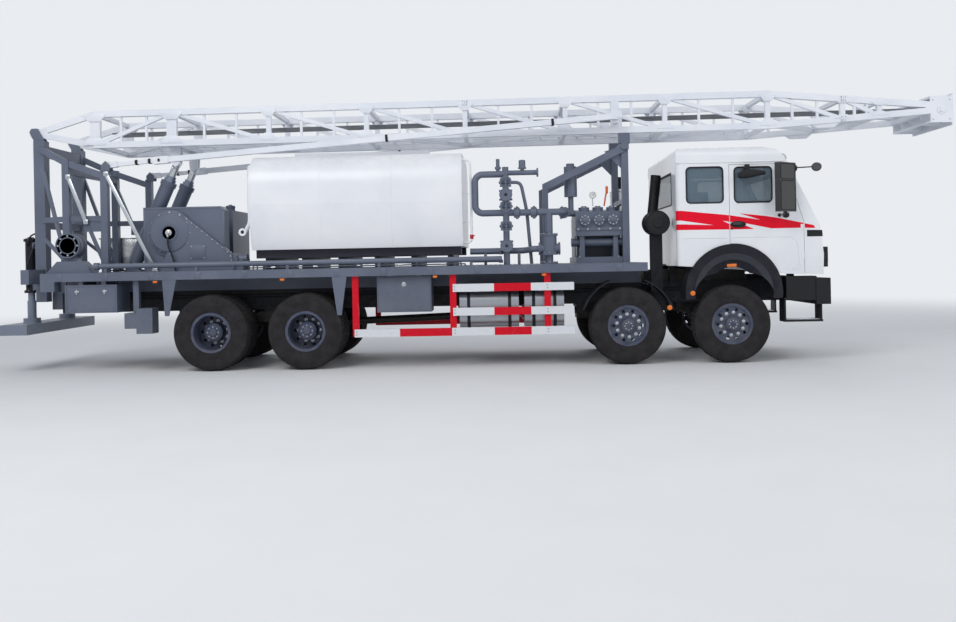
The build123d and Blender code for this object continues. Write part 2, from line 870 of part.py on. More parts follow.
# Wheel arches over the first axle, and the step wells beside them
arch_skin = 25
flare_inner_radius = 545
with BuildPart() as cab_arches:
    for side in (-1, 1):
        inner_y, outer_y = side * 880, side * (cab_half_width + 22)
        for radius, near, far, mode in (
            (arch_radius, inner_y, outer_y, Mode.ADD),
            (arch_radius - arch_skin, inner_y - side, outer_y - side * arch_skin, Mode.SUBTRACT),
            (flare_inner_radius, inner_y - side, outer_y + side, Mode.SUBTRACT),
        ):
            add(
                arch_cylinder(arch_x, arch_z, radius, min(near, far), max(near, far)),
                mode=mode,
            )
    add(block((2800, -1300, 200), (4300, 1300, 900)), mode=Mode.SUBTRACT)

# Bumper on the rail ends, with two steps and their box at each side
bumper_low, bumper_high = 800, 1165
bumper_rear_x, bumper_front_x, bumper_half_width = 4700, 4900, 1210
step_inner_y, step_outer_y = 950, 1200
step_rear_x, step_front_x = 4260, 4790
step_plate = 30
step_zs = (560, 860)
with BuildPart() as bumper:
    bumper_corner = (bumper_front_x, bumper_half_width, bumper_high)
    add(block((bumper_rear_x, -bumper_half_width, bumper_low), bumper_corner))
    for side in (-1, 1):
        near, far = sorted((side * rail_inner_y, side * rail_outer_y))
        horn = (rail_front_x, near, rail_bottom + 30)
        add(block(horn, (bumper_rear_x + 10, far, rail_top - 30)))
        low, high = sorted((side * step_inner_y, side * step_outer_y))
        for z, front_x in zip(step_zs, (step_front_x, bumper_rear_x + 10)):
            add(block((step_rear_x, low, z), (front_x, high, z + step_plate)))
        for x in (step_rear_x, step_front_x - 30):
            add(block((x, low, step_zs[0]), (x + 20, high, bumper_low + 100)))
        box_low = (step_rear_x + step_plate, low, step_zs[1])
        add(block(box_low, (bumper_rear_x + 10, high, bumper_high + 30)))
save(bumper.part, "bumper")

# Headlamps beside the grille, on the cab's nose
lamp_low_z, lamp_high_z = 1320, 1600
grille_half_width, grille_low_z, grille_high_z = 790, 1300, 1760
slat_pitch, slat_height = 60, 25
with BuildPart() as headlamps:
    for side in (-1, 1):
        near, far = side * 820, side * 1200
        low, high = min(near, far), max(near, far)
        add(block((nose_x + seat_gap, low, lamp_low_z), (nose_x + 60, high, lamp_high_z)))
with BuildPart() as grille:
    face_low = (nose_x + seat_gap, -grille_half_width, grille_low_z)
    add(block(face_low, (nose_x + 22, grille_half_width, grille_high_z)))
    for z in range(grille_low_z + 30, grille_high_z - 10, slat_pitch):
        slat_low = (nose_x + 20, -grille_half_width + 20, z)
        add(block(slat_low, (nose_x + 45, grille_half_width - 20, z + slat_height)))
save(Compound(children=[*headlamps.part.solids(), *grille.part.solids()]), "grille")

# Mudguards over the second axle: a quarter fender before and behind it, on stays from the rails
guard_radius = 665
guard_skin = 18
guard_z = tyre_radius + 20
guard_low_z = 770
guard_inner_y, guard_outer_y = 900, 1225
guard_open_half = 235
guard_stay = 15
guard_stay_x = 340
with BuildPart() as mudguards:
    for side in (-1, 1):
        low, high = sorted((side * guard_inner_y, side * guard_outer_y))
        add(arch_cylinder(axle_2_x, guard_z, guard_radius, low, high))
        bare_radius = guard_radius - guard_skin
        add(arch_cylinder(axle_2_x, guard_z, bare_radius, low - 1, high + 1), mode=Mode.SUBTRACT)
    reach_x, reach_y = guard_radius + 1, guard_outer_y + 1
    open_top = (axle_2_x - guard_open_half, -reach_y, guard_z)
    add(block(open_top, (axle_2_x + guard_open_half, reach_y, guard_z + reach_x)), mode=Mode.SUBTRACT)
    below = (axle_2_x - reach_x, -reach_y, guard_z - reach_x)
    add(block(below, (axle_2_x + reach_x, reach_y, guard_low_z)), mode=Mode.SUBTRACT)
    stay_rise = sqrt((bare_radius - guard_stay + 4) ** 2 - guard_stay_x**2)
    for side in (-1, 1):
        for end in (-1, 1):
            x = axle_2_x + end * guard_stay_x
            start = (x, side * (rail_outer_y + seat_gap), guard_z + stay_rise)
            add(rod(start, (x, side * (guard_outer_y - 30), guard_z + stay_rise), guard_stay))
save(Compound(children=[*cab_arches.part.solids(), *mudguards.part.solids()]), "mudguards")

# Water tank: rounded above, drawn in below, with a coaming and a fill hatch on top
tank_shoulder = 430
tank_lower_half = 1080
tank_bulge_z = tank_top - 710
hatch_height, hatch_depth, hatch_radius = 80, 150, 200
with BuildPart() as water_tank:
    with BuildSketch(
        Plane(origin=(tank_rear_x, 0, 0), x_dir=(0, 1, 0), z_dir=(1, 0, 0))
    ) as tank_section:
        with BuildLine():
            flat = tank_half_width - tank_shoulder
            Line((-tank_lower_half, tank_bottom), (tank_lower_half, tank_bottom))
            for side in (-1, 1):
                ThreePointArc(
                    (side * tank_lower_half, tank_bottom),
                    (side * (tank_half_width - 45), (tank_bottom + tank_bulge_z) / 2),
                    (side * tank_half_width, tank_bulge_z),
                )
                Line(
                    (side * tank_half_width, tank_bulge_z),
                    (side * tank_half_width, tank_top - tank_shoulder),
                )
                ThreePointArc(
                    (side * tank_half_width, tank_top - tank_shoulder),
                    (
                        side * (flat + tank_shoulder * sqrt(0.5)),
                        tank_top - tank_shoulder * (1 - sqrt(0.5)),
                    ),
                    (side * flat, tank_top),
                )
            Line((-flat, tank_top), (flat, tank_top))
        make_face()
    extrude(amount=tank_front_x - tank_rear_x)
    add(block((tank_rear_x + 500, -450, tank_top - 5), (tank_front_x - 500, -400, tank_top + 90)))
    add(block((tank_rear_x + 500, 400, tank_top - 5), (tank_front_x - 500, 450, tank_top + 90)))
    hatch = (tank_front_x - 900, 0)
    add(rod((*hatch, tank_top - 5), (*hatch, tank_top + hatch_height), 250))
    add(
        rod(
            (*hatch, tank_top + hatch_height - hatch_depth),
            (*hatch, tank_top + hatch_height + 1),
            hatch_radius,
        ),
        mode=Mode.SUBTRACT,
    )
save(water_tank.part, "water_tank")
with BuildPart() as tank_skirt:
    for y in (-950, 820):
        add(block((tank_rear_x + 30, y, skirt_bottom), (tank_front_x - 30, y + 130, tank_bottom)))
    for step in range(6):
        x = tank_rear_x + 150 + step * (tank_front_x - tank_rear_x - 380) / 5
        add(block((x, -900, deck_top), (x + 80, 900, tank_bottom)))
save(tank_skirt.part, "tank_cradle")

# Drawworks: a cable drum between side frames, with its chain case, domed cover and motor
drum_x, drum_z = -4502, 1990
drum_radius, drum_flange_radius, drum_shaft = 170, 265, 45
drum_cover_radius = 330
case_rear_x, case_front_x, case_top_z = -4913, -3710, 2370
case_inner_y, case_outer_y = -560, -770
chain_outer_y = -845
motor_x, motor_z, motor_radius = -3600, 1590, 85
with BuildPart() as drawworks:
    frame_outline = [
        (drum_x - 200, deck_top),
        (drum_x + 420, deck_top),
        (drum_x + 240, drum_z + 120),
        (drum_x + 60, drum_z + 200),
        (drum_x - 60, drum_z + 160),
    ]
    for y in (-420, 560):
        add(side_plate(frame_outline, y, y + 30))
    add(rod((drum_x, -400, drum_z), (drum_x, 570, drum_z), drum_radius))
    add(rod((drum_x, case_inner_y - 5, drum_z), (drum_x, 620, drum_z), drum_shaft))
    for y in (-300, 480):
        add(rod((drum_x, y, drum_z), (drum_x, y + 40, drum_z), drum_flange_radius))
    case_outline = [
        (case_rear_x, deck_top),
        (case_rear_x, case_top_z),
        (case_front_x - 60, case_top_z),
        (case_front_x, case_top_z - 60),
        (case_front_x, deck_top),
    ]
    add(side_plate(case_outline, case_outer_y, case_inner_y))
    chain_outline = [
        (drum_x + 200, drum_z + 262),
        (motor_x, motor_z + 90),
        (motor_x + 40, deck_top + 60),
        (motor_x + 40, deck_top),
        (drum_x - 150, deck_top),
        (drum_x - 50, drum_z - 300),
    ]
    add(side_plate(chain_outline, chain_outer_y, case_outer_y + 1))
    dome = [
        (0, 0),
        (0, drum_cover_radius),
        (-45, drum_cover_radius),
        (-85, drum_cover_radius - 60),
        (-100, drum_cover_radius - 180),
        (-103, 95),
        (-70, 95),
        (-70, 0),
    ]
    add(turned(dome, (drum_x, case_outer_y, drum_z)))
    add(rod((drum_x, case_outer_y - 65, drum_z), (drum_x, case_outer_y - 112, drum_z), 48))
    motor_low, motor_high = (motor_x, chain_outer_y + 20, motor_z), (motor_x, -420, motor_z)
    add(rod(motor_low, motor_high, motor_radius))
    add(rod((motor_x, -700, motor_z), (motor_x + 200, -700, motor_z), motor_radius - 10))
    add(block((motor_x - 40, -800, deck_top), (motor_x + 160, -440, motor_z)))
save(drawworks.part, "drawworks")
with BuildPart() as hydraulic_tank:
    rear_x, front_x = case_front_x - 350, case_front_x - 50
    add(block((rear_x, -200, deck_top), (front_x, 700, case_top_z - 30)))
    filler = ((rear_x + front_x) / 2, 200)
    add(rod((*filler, case_top_z - 35), (*filler, case_top_z + 30), 70))
save(hydraulic_tank.part, "hydraulic_tank")

# Triplex pump on its skid, with the fluid end towards the right side
pump_low_x, pump_high_x = 1425, 2105
with BuildPart() as plunger_pump:
    add(block((pump_low_x, -620, deck_top), (pump_high_x, 700, deck_top + 90)))
    add(block((pump_low_x + 30, 0, deck_top + 85), (pump_high_x - 30, 650, 2120)))
    add(rod((pump_low_x + 30, 320, 1930), (pump_high_x - 30, 320, 1930), 330))
    add(block((pump_low_x + 60, -330, 1700), (pump_high_x - 60, 20, 2060)))
    add(block((pump_low_x, -600, 1830), (pump_high_x, -320, 2190)))
    for step in (-1, 0, 1):
        x = (pump_low_x + pump_high_x) / 2 + step * 205
        add(rod((x, -640, 2060), (x, -590, 2060), 78))
        add(rod((x, -460, 2185), (x, -460, 2235), 78))
    add(rod((pump_low_x - 60, -460, 1740), (pump_high_x + 30, -460, 1740), 62))
    add(block((pump_low_x + 60, -560, deck_top + 85), (pump_low_x + 130, -360, 1835)))
    add(block((pump_high_x - 130, -560, deck_top + 85), (pump_high_x - 60, -360, 1835)))
save(plunger_pump.part, "plunger_pump")

# Pipework: discharge line with its valve stack, the line along the deck edge, the air vessel
outlet_radius, outlet_depth = 26, 120
edge_pipe_rear_x, edge_pipe_front_x = -5465, 335
edge_y, edge_z, edge_radius = -1190, 1520, 38
coupling_radius, coupling_length = 52, 70
stack_x, stack_radius = 405, 45
valve_zs = (1700, 1980, 2260, 2420, 2600)
valve_half, valve_radius, hand_wheel_radius = 60, 80, 85
line_y, line_z, line_top_z = -1050, 2170, 2720
line_start_x, drop_x, branch_x = -30, 1010, 1250
line_radius, line_bend = 47, 110
pump_line_y = -470
vessel_x, vessel_radius, vessel_low_z, vessel_high_z = 1370, 95, 2415, 2860


def bent_pipe(points, radius, bend):
    """A round pipe along straight runs that meet in bends."""
    with BuildPart() as made:
        with BuildLine() as route:
            FilletPolyline(*points, radius=bend)
        with BuildSketch(Plane(origin=route.line @ 0, z_dir=route.line % 0)):
            Circle(radius)
        sweep()
    return made.part


with BuildPart() as pipework:
    add(rod((stack_x, line_y, deck_top), (stack_x, line_y, line_top_z + 100), stack_radius))
    for z in valve_zs:
        low, high = (stack_x, line_y, z - valve_half), (stack_x, line_y, z + valve_half)
        add(rod(low, high, valve_radius))
        wheel_y_face = line_y - 140
        add(rod((stack_x, line_y - 10, z), (stack_x, wheel_y_face, z), 14))
        with BuildSketch(Plane(origin=(stack_x, wheel_y_face, z), z_dir=(0, 1, 0))):
            Circle(hand_wheel_radius)
            Circle(hand_wheel_radius - 19, mode=Mode.SUBTRACT)
            Rectangle(2 * hand_wheel_radius - 20, 16)
        extrude(amount=16)
    discharge = [
        (stack_x, line_y, line_top_z),
        (line_start_x, line_y, line_top_z),
        (line_start_x, line_y, line_z),
        (branch_x, line_y, line_z),
        (branch_x, pump_line_y, line_z),
        (pump_low_x - seat_gap, pump_line_y, line_z),
    ]
    add(bent_pipe(discharge, line_radius, line_bend))
    add(rod((drop_x, line_y, deck_top), (drop_x, line_y, line_z), line_radius + 6))
    add(rod((drop_x, line_y, deck_top), (drop_x, line_y, deck_top + 30), 120))
    add(rod((drop_x, line_y, 1560), (drop_x, line_y, 1860), 105))
    add(rod((drop_x - 150, line_y, 1650), (drop_x + 150, line_y, 1650), 70))
    add(rod((edge_pipe_rear_x, edge_y, edge_z), (edge_pipe_front_x, edge_y, edge_z), edge_radius))
    coupling_front = (edge_pipe_rear_x + coupling_length, edge_y, edge_z)
    add(rod((edge_pipe_rear_x, edge_y, edge_z), coupling_front, coupling_radius))
    bore_end = (edge_pipe_rear_x + outlet_depth, edge_y, edge_z)
    add(rod((edge_pipe_rear_x - 1, edge_y, edge_z), bore_end, outlet_radius), mode=Mode.SUBTRACT)
    for x in (-5300, -4000, -2700, -1400, -100):
        add(block((x - 20, edge_y - 20, deck_top), (x + 20, edge_y + 20, edge_z - 20)))
    add(rod((vessel_x, pump_line_y, line_z), (vessel_x, pump_line_y, vessel_low_z + 5), 40))
    vessel_top = (vessel_x, pump_line_y, vessel_high_z)
    add(rod((vessel_x, pump_line_y, vessel_low_z), vessel_top, vessel_radius))
    add(rod(vessel_top, (vessel_x, pump_line_y, vessel_high_z + 45), 60))
save(pipework.part, "pipework")

# Gear behind the cab: exhaust silencer on its bracket, air cleaner on a post from the rail
silencer_x, silencer_y = 2250, 800
silencer_low_z, silencer_high_z = 1790, 2560
silencer_radius, tail_pipe_radius = 150, 60
cleaner_x, cleaner_z, cleaner_radius = 2565, 1990, 170
cleaner_low_y, cleaner_high_y = -980, -560
with BuildPart() as engine_gear:
    foot_low = (silencer_x - 100, silencer_y - 100, deck_top)
    add(block(foot_low, (silencer_x + 100, silencer_y + 100, silencer_low_z + 10)))
    can_top = (silencer_x, silencer_y, silencer_high_z)
    add(rod((silencer_x, silencer_y, silencer_low_z), can_top, silencer_radius))
    add(rod(can_top, (silencer_x, silencer_y, silencer_high_z + 240), tail_pipe_radius))
    cleaner_start = (cleaner_x, cleaner_low_y, cleaner_z)
    add(rod(cleaner_start, (cleaner_x, cleaner_high_y, cleaner_z), cleaner_radius))
    for post_low_y, post_high_y, low_z, high_z in (
        (-800, -700, rail_top - 20, cleaner_z - 130),
        (-800, -rail_outer_y, rail_top - 130, rail_top - 10),
    ):
        post_low = (cleaner_x - 85, post_low_y, low_z)
        add(block(post_low, (cleaner_x + 85, post_high_y, high_z)))
save(Compound(children=engine_gear.part.solids()), "engine_gear")

# Side guards: three rails between the axles on posts down from the deck edge
guard_posts = (-1790, -410, 920)
guard_post_width = 90
guard_rail_height, guard_rail_depth = 110, 35
guard_face_y = 1225
# Height of each rail's lower edge and its span along the truck
guard_rails = ((1065, -365, 1335), (730, -365, 1335), (450, -1760, 1338))
with BuildPart() as side_guards:
    for side in (-1, 1):
        back_y = guard_face_y - guard_rail_depth
        low, high = sorted((side * back_y, side * guard_face_y))
        for z, x_low, x_high in guard_rails:
            add(block((x_low, low, z), (x_high, high, z + guard_rail_height)))
        low, high = sorted((side * (back_y - 40), side * (back_y + 2)))
        for x in guard_posts:
            post_low = (x, low, guard_rails[-1][0] + 5)
            add(block(post_low, (x + guard_post_width, high, deck_bottom)))
save(side_guards.part, "side_guards")

# Fuel tanks strapped to the rails, tool boxes hung below the deck
tank_spans = ((-280, 560), (640, 1200))
tank_inner_y, tank_outer_y = 540, 1100
fuel_low_z, fuel_high_z = 550, 1050
fuel_corner = 110
with BuildPart() as fuel_tanks:
    for side in (-1, 1):
        middle_y, middle_z = (tank_inner_y + tank_outer_y) / 2, (fuel_low_z + fuel_high_z) / 2
        for x_low, x_high in tank_spans:
            section_plane = Plane(
                origin=(x_low, side * middle_y, middle_z), x_dir=(0, 1, 0), z_dir=(1, 0, 0)
            )
            with BuildSketch(section_plane):
                RectangleRounded(tank_outer_y - tank_inner_y, fuel_high_z - fuel_low_z, fuel_corner)
            extrude(amount=x_high - x_low)
            low, high = sorted((side * (rail_outer_y + seat_gap), side * (tank_inner_y + 20)))
            for x in (x_low + 100, x_high - 160):
                add(block((x, low, rail_bottom + 20), (x + 60, high, fuel_high_z - 10)))
save(fuel_tanks.part, "fuel_tanks")

# One row for each box: its span along the truck, across it and in height, and its hangers
box_rows = (
    (-1445, -675, 700, 1140, 790, 1300, (-1300, -880)),
    (-5895, -5145, 750, 1200, 860, 1260, (-5700, -5370)),
)
hanger_width = 60
with BuildPart() as tool_boxes:
    for x_low, x_high, inner_y, outer_y, low_z, high_z, hangers in box_rows:
        for side in (-1, 1):
            near, far = sorted((side * inner_y, side * outer_y))
            add(block((x_low, near, low_z), (x_high, far, high_z)))
            edge_y = min(outer_y, deck_half_width - deck_edge - seat_gap)
            near, far = sorted((side * inner_y, side * edge_y))
            for x in hangers:
                hanger_low = (x, near, high_z - 5)
                add(block(hanger_low, (x + hanger_width, far, deck_top - deck_plate)))
save(tool_boxes.part, "tool_boxes")

barrel_low_z, barrel_high_z = 1150, 1950

# Rear frame: columns under the mast pivots, posts for the struts, rails and clevises
pivot_inner = mast_half_width - foot_thickness / 2 - clevis_play
pivot_outer = mast_half_width + foot_thickness / 2 + clevis_play
strut_eye_half = strut_tube / 2
post_y = strut_y
post_2_top = 2930
post_1_top = 3090
mid_rail_z = 2220
winch_x, winch_z = -5870, 1825
winch_radius, winch_bore = 180, 106
winch_face_y, winch_back_y = -1140, -905
step_z = 1600
eye_radius = 48
pin_play = 0.5
lift_foot_gap = 35 + clevis_play


def clevis(x, y, z, gap_half, foot, pin_radius, reach=60):
    """Two lugs and their pin; foot lists the (x, z) corners where the lugs stand."""
    with BuildPart() as made:
        for side in (-1, 1):
            near, far = y + side * gap_half, y + side * (gap_half + lug_thickness)
            low, high = min(near, far), max(near, far)
            outline = [foot[0], foot[1], (x + reach, z), (x, z + reach), (x - reach, z)]
            add(side_plate(outline, low, high))
        span = gap_half + lug_thickness
        add(rod((x, y - span, z), (x, y + span, z), pin_radius))
    return made.part


# The frame is bolted up from a portal under the mast pivots, a trellis at each side, a rear
# beam between the trellises, the tail winch on its step, and the feet of the lift cylinders
with BuildPart() as portal:
    for side in (-1, 1):
        add(
            block(
                (column_x - 80, side * mast_half_width - 80, column_bottom_z),
                (column_x + 80, side * mast_half_width + 80, column_top_z),
            )
        )
        for near, far in (
            (pivot_inner, pivot_inner - lug_thickness),
            (pivot_outer, pivot_outer + lug_thickness),
        ):
            low, high = sorted((side * near, side * far))
            lug = [
                (column_x - 80, column_top_z - 10),
                (column_x + 80, column_top_z - 10),
                (pivot_x + 75, pivot_z + 20),
                (pivot_x + 45, pivot_z + 70),
                (pivot_x - 45, pivot_z + 70),
                (pivot_x - 75, pivot_z + 20),
            ]
            add(side_plate(lug, low, high))
        low, high = sorted(
            (side * (pivot_inner - lug_thickness), side * (pivot_outer + lug_thickness))
        )
        add(rod((pivot_x, low, pivot_z), (pivot_x, high, pivot_z), foot_pin))
    add(block((column_x - 70, -560, 3180), (column_x + 70, 560, 3330)))
    add(block((column_x - 60, -560, 2100), (column_x + 60, 560, 2200)))
    add(block((column_x - 60, -1150, deck_bottom - 30), (column_x + 60, 1150, deck_top + 60)))
    add(
        block(
            (column_x, -rail_inner_y + 1, rail_bottom + 50),
            (cross_members[0] - 60, rail_inner_y - 1, deck_bottom - 1),
        )
    )
    for side in (-1, 1):
        y = side * jack_y
        add(rod((jack_x, y, barrel_low_z), (jack_x, y, barrel_high_z), jack_barrel_radius))
        for z in (barrel_low_z + 40, barrel_high_z - 140):
            add(
                block(
                    (jack_x, y - 60, z),
                    (column_x - column_size / 2, y + 60, z + 90),
                )
            )
        add(
            rod(
                (jack_x, y, barrel_low_z - 1),
                (jack_x, y, barrel_high_z - 30),
                jack_rod_radius + jack_play,
            ),
            mode=Mode.SUBTRACT,
        )
post_half = post_size / 2
rear_pieces = [*portal.part.solids()]
for side in (-1, 1):
    with BuildPart() as trellis:
        for x, top in ((post_1_x, post_1_top), (post_2_x, post_2_top)):
            add(
                block(
                    (x - post_half, side * post_y - post_half, deck_top),
                    (x + post_half, side * post_y + post_half, top),
                )
            )
        knee = (post_1_x, side * post_y, 3040)
        add(bar((column_x, side * 640, 3285), knee, 80, 90))
        add(bar(knee, (post_2_x, side * post_y, 2835), 80, 90))
        mid_knot = (post_1_x, side * post_y, mid_rail_z)
        add(bar((column_x, side * 640, mid_rail_z), mid_knot, 50, 80))
        add(bar(mid_knot, (post_2_x, side * post_y, mid_rail_z), 50, 80))
        near, far = sorted((side * (post_y - 15), side * (post_y + 15)))
        add(block((post_2_x - 310, near, mid_rail_z - 190), (post_2_x, far, mid_rail_z - 10)))
        add(bar((column_x, side * 640, 2000), (post_1_x + 100, side * post_y, deck_top + 20), 45, 45))
        add(bar((column_x + 40, side * 660, 3000), (post_1_x, side * post_y, 1500), 45, 45))
        add(bar((post_1_x, side * post_y, 2860), (post_2_x, side * post_y, 1500), 45, 45))
        strut_foot = ((strut_foot_x - 60, post_2_top - 20), (strut_foot_x + 60, post_2_top - 20))
        add(
            clevis(
                strut_foot_x,
                side * strut_y,
                strut_foot_z,
                strut_eye_half + clevis_play,
                strut_foot,
                20,
            )
        )
        add(portal.part, mode=Mode.SUBTRACT)
    rear_pieces += trellis.part.solids()
    lift_base = ((lift_foot_x - 150, deck_top), (lift_foot_x + 150, deck_top))
    lift_clevis = clevis(lift_foot_x, side * lift_y, lift_foot_z, lift_foot_gap, lift_base, 30, 65)
    rear_pieces += lift_clevis.solids()
beam_reach = post_y - post_half
rear_pieces.append(
    block((post_1_x - 45, -beam_reach, 2880), (post_1_x + 45, beam_reach, 2990))
)
with BuildPart() as tail_winch:
    add(rod((winch_x, winch_face_y, winch_z), (winch_x, winch_face_y + 45, winch_z), winch_radius))
    add(rod((winch_x, winch_face_y, winch_z), (winch_x, winch_back_y, winch_z), winch_radius - 35))
    add(rod((winch_x, winch_back_y - 30, winch_z), (winch_x, winch_back_y, winch_z), winch_radius))
    bored = (winch_x, winch_back_y - 60, winch_z)
    add(rod((winch_x, winch_face_y - 1, winch_z), bored, winch_bore), mode=Mode.SUBTRACT)
    step_outline = [
        (-6190, deck_top),
        (-6030, step_z),
        (-5680, step_z),
        (-5580, step_z - 90),
        (-5540, deck_top),
    ]
    add(side_plate(step_outline, winch_face_y, winch_back_y))
    saddle = ((winch_x - 120, step_z - 5), (winch_x + 120, step_z - 5), (winch_x, winch_z - 60))
    add(side_plate(saddle, winch_face_y + 60, winch_back_y - 40))
rear_pieces += tail_winch.part.solids()
save(Compound(children=rear_pieces), "rear_frame")

# Load beam that the jack rods lower to the ground
with BuildPart() as jack_beam:
    for side in (-1, 1):
        y = side * jack_y
        add(rod((jack_x, y, jack_beam_top + 60), (jack_x, y, barrel_high_z - 60), jack_rod_radius))
        add(rod((jack_x, y, jack_beam_top), (jack_x, y, jack_beam_top + 70), 120))
        add(rod((jack_x, y, jack_beam_top + 60), (jack_x, y, jack_beam_top + 330), 62))
    add(
        block(
            (
                jack_x - jack_beam_reach,
                -jack_beam_half_length,
                jack_beam_top - jack_beam_depth,
            ),
            (jack_x + jack_beam_reach, jack_beam_half_length, jack_beam_top),
        )
    )
save(jack_beam.part, "jack_beam")


def chord_z(x, top):
    """Height of a chord's middle line at a place along the mast."""
    rows = (
        (truss_rear_x, top_rear_z, bottom_rear_z),
        (truss_bend_x, top_bend_z, bottom_bend_z),
        (truss_front_x, top_front_z, bottom_front_z),
    )
    for (x1, t1, b1), (x2, t2, b2) in zip(rows, rows[1:]):
        if x <= x2:
            share = (x - x1) / (x2 - x1)
            if top:
                return t1 + share * (t2 - t1) - chord / 2
            return b1 + share * (b2 - b1) + chord / 2
    return top_front_z - chord / 2 if top else bottom_front_z + chord / 2


# Mast: two lattice sides joined by cross members, one bolted length, feet on the pivots
end_frame = 70
end_frame_x = truss_front_x - end_frame / 2
bracing_end_y = mast_half_width - chord / 2
bays = list(zip(mast_posts, mast_posts[1:]))
lift_lug = 24
lift_eye_half = 35
lug_gap_half = lift_eye_half + clevis_play
for name, side in sides:
    y = side * mast_half_width
    bars = [
        block(
            (truss_front_x - end_frame, y - chord / 2, bottom_front_z),
            (truss_front_x, y + chord / 2, top_front_z),
        )
    ]
    for top in (True, False):
        knots = [(x, y, chord_z(x, top)) for x in (truss_rear_x, truss_bend_x, end_frame_x)]
        bars.append(bar((pivot_x, y, pivot_z), knots[0], foot_thickness, chord))
        bars.append(bar(knots[0], knots[1], chord, chord))
        bars.append(bar(knots[1], knots[2], chord, chord))
    for x in mast_posts:
        size = wide_post if x in wide_posts else post
        bars.append(bar((x, y, chord_z(x, False)), (x, y, chord_z(x, True)), 70, size))
    for place, (x1, x2) in enumerate(bays):
        rising = place == 0
        start = (x1, y, chord_z(x1, not rising))
        bars.append(bar(start, (x2, y, chord_z(x2, rising)), brace, brace))
        for share in (1 / 3, 2 / 3):
            x = x1 + share * (x2 - x1)
            bars.append(bar((x, y, chord_z(x, False)), (x, y, chord_z(x, True)), lacing, lacing))
    low, high = y - foot_thickness / 2, y + foot_thickness / 2
    bars.append(rod((pivot_x, low, pivot_z), (pivot_x, high, pivot_z), foot_radius))
    inner = side * (strut_y - strut_eye_half - clevis_play - lug_thickness)
    for level in (-1, 1):
        z = strut_eye_z + level * 60
        chord_face = (strut_eye_x + 10, side * (mast_half_width + 20), z)
        bars.append(bar(chord_face, (strut_eye_x + 10, inner + side * 5, z), 70, 50, (1, 0, 0)))
    bars.append(
        bar(
            (strut_eye_x + 10, y, chord_z(strut_eye_x, False)),
            (strut_eye_x + 10, y, chord_z(strut_eye_x, True)),
            chord,
            120,
        )
    )
    near, far = sorted((inner, inner + side * lug_thickness))
    bars.append(
        block(
            (strut_eye_x - 70, near, strut_eye_z - 90),
            (strut_eye_x + 90, far, strut_eye_z + 90),
        )
    )
    head_start, head_end = sorted((inner - side * 12, inner + side * 5))
    bars.append(
        rod((strut_eye_x, head_start, strut_eye_z), (strut_eye_x, head_end, strut_eye_z), 30)
    )
    with BuildPart() as truss:
        add(bars)
        add(
            rod((pivot_x, y - 60, pivot_z), (pivot_x, y + 60, pivot_z), foot_pin + pin_play),
            mode=Mode.SUBTRACT,
        )
    save(truss.part, f"mast_{name}")

# Cross members between the two sides, with the beam and lugs that the lift cylinders push
bars = []
for x in mast_posts:
    for top in (True, False):
        z = chord_z(x, top)
        bars.append(bar((x, -bracing_end_y, z), (x, bracing_end_y, z), 60, 60, (1, 0, 0)))
for place, (x1, x2) in enumerate(bays):
    flip = 1 if place % 2 else -1
    start = (x1, -flip * mast_half_width, chord_z(x1, False))
    end = (x2, flip * mast_half_width, chord_z(x2, False))
    bars.append(bar(start, end, 45, 45, (0, 0, 1)))
beam_z = chord_z(lift_eye_x, False)
bars.append(
    bar((lift_eye_x, -bracing_end_y, beam_z), (lift_eye_x, bracing_end_y, beam_z), 170, 80, (1, 0, 0))
)
for x in (truss_front_x - end_frame / 2,):
    z = bottom_front_z + end_frame / 2
    bars.append(bar((x, -bracing_end_y, z), (x, bracing_end_y, z), end_frame, 60, (1, 0, 0)))
for side in (-1, 1):
    y = side * lift_y
    for flank in (-1, 1):
        near, far = sorted((y + flank * lug_gap_half, y + flank * (lug_gap_half + lift_lug)))
        lug = [
            (lift_eye_x - 60, lift_eye_z),
            (lift_eye_x, lift_eye_z - 60),
            (lift_eye_x + 60, lift_eye_z),
            (lift_eye_x + 80, beam_z),
            (lift_eye_x - 80, beam_z),
        ]
        bars.append(side_plate(lug, near, far))
        head_start = y + flank * (lug_gap_half + lift_lug - 2)
        head_end = y + flank * (lug_gap_half + lift_lug + 10)
        bars.append(
            rod((lift_eye_x, head_start, lift_eye_z), (lift_eye_x, head_end, lift_eye_z), 38)
        )
with BuildPart() as mast_bracing:
    add(bars)
    add(
        block((pivot_x, -bracing_end_y, 2900), (truss_front_x, bracing_end_y, 4000)),
        mode=Mode.INTERSECT,
    )
save(mast_bracing.part, "mast_bracing")

# Crown: end frame of the mast with its sheaves
crown_low_z, crown_high_z = 3332, 3786
sheave_x, sheave_z, sheave_radius = 6745, 3560, 130
with BuildPart() as crown_block:
    for y in (-645, -330, 300, 615):
        add(
            block(
                (truss_front_x, y, crown_low_z + 40),
                (mast_tip_x - 20, y + 30, crown_high_z - 30),
            )
        )
    add(block((mast_tip_x - 20, -645, crown_low_z), (mast_tip_x, 645, crown_high_z)))
    add(block((truss_front_x, -645, crown_high_z - 60), (6605, 645, crown_high_z - 30)))
    add(block((truss_front_x, -645, crown_low_z + 40), (6605, 645, crown_low_z + 70)))
    add(rod((sheave_x, -620, sheave_z), (sheave_x, 620, sheave_z), 30))
sheave_profile = [
    (-35, 30 + pin_play),
    (-35, sheave_radius),
    (-25, sheave_radius),
    (-8, sheave_radius - 40),
    (8, sheave_radius - 40),
    (25, sheave_radius),
    (35, sheave_radius),
    (35, 30 + pin_play),
]
wheels = [turned(sheave_profile, (sheave_x, y, sheave_z)) for y in (-180, -60, 60, 180)]
save(Compound(children=[crown_block.part, *wheels]), "crown_block")

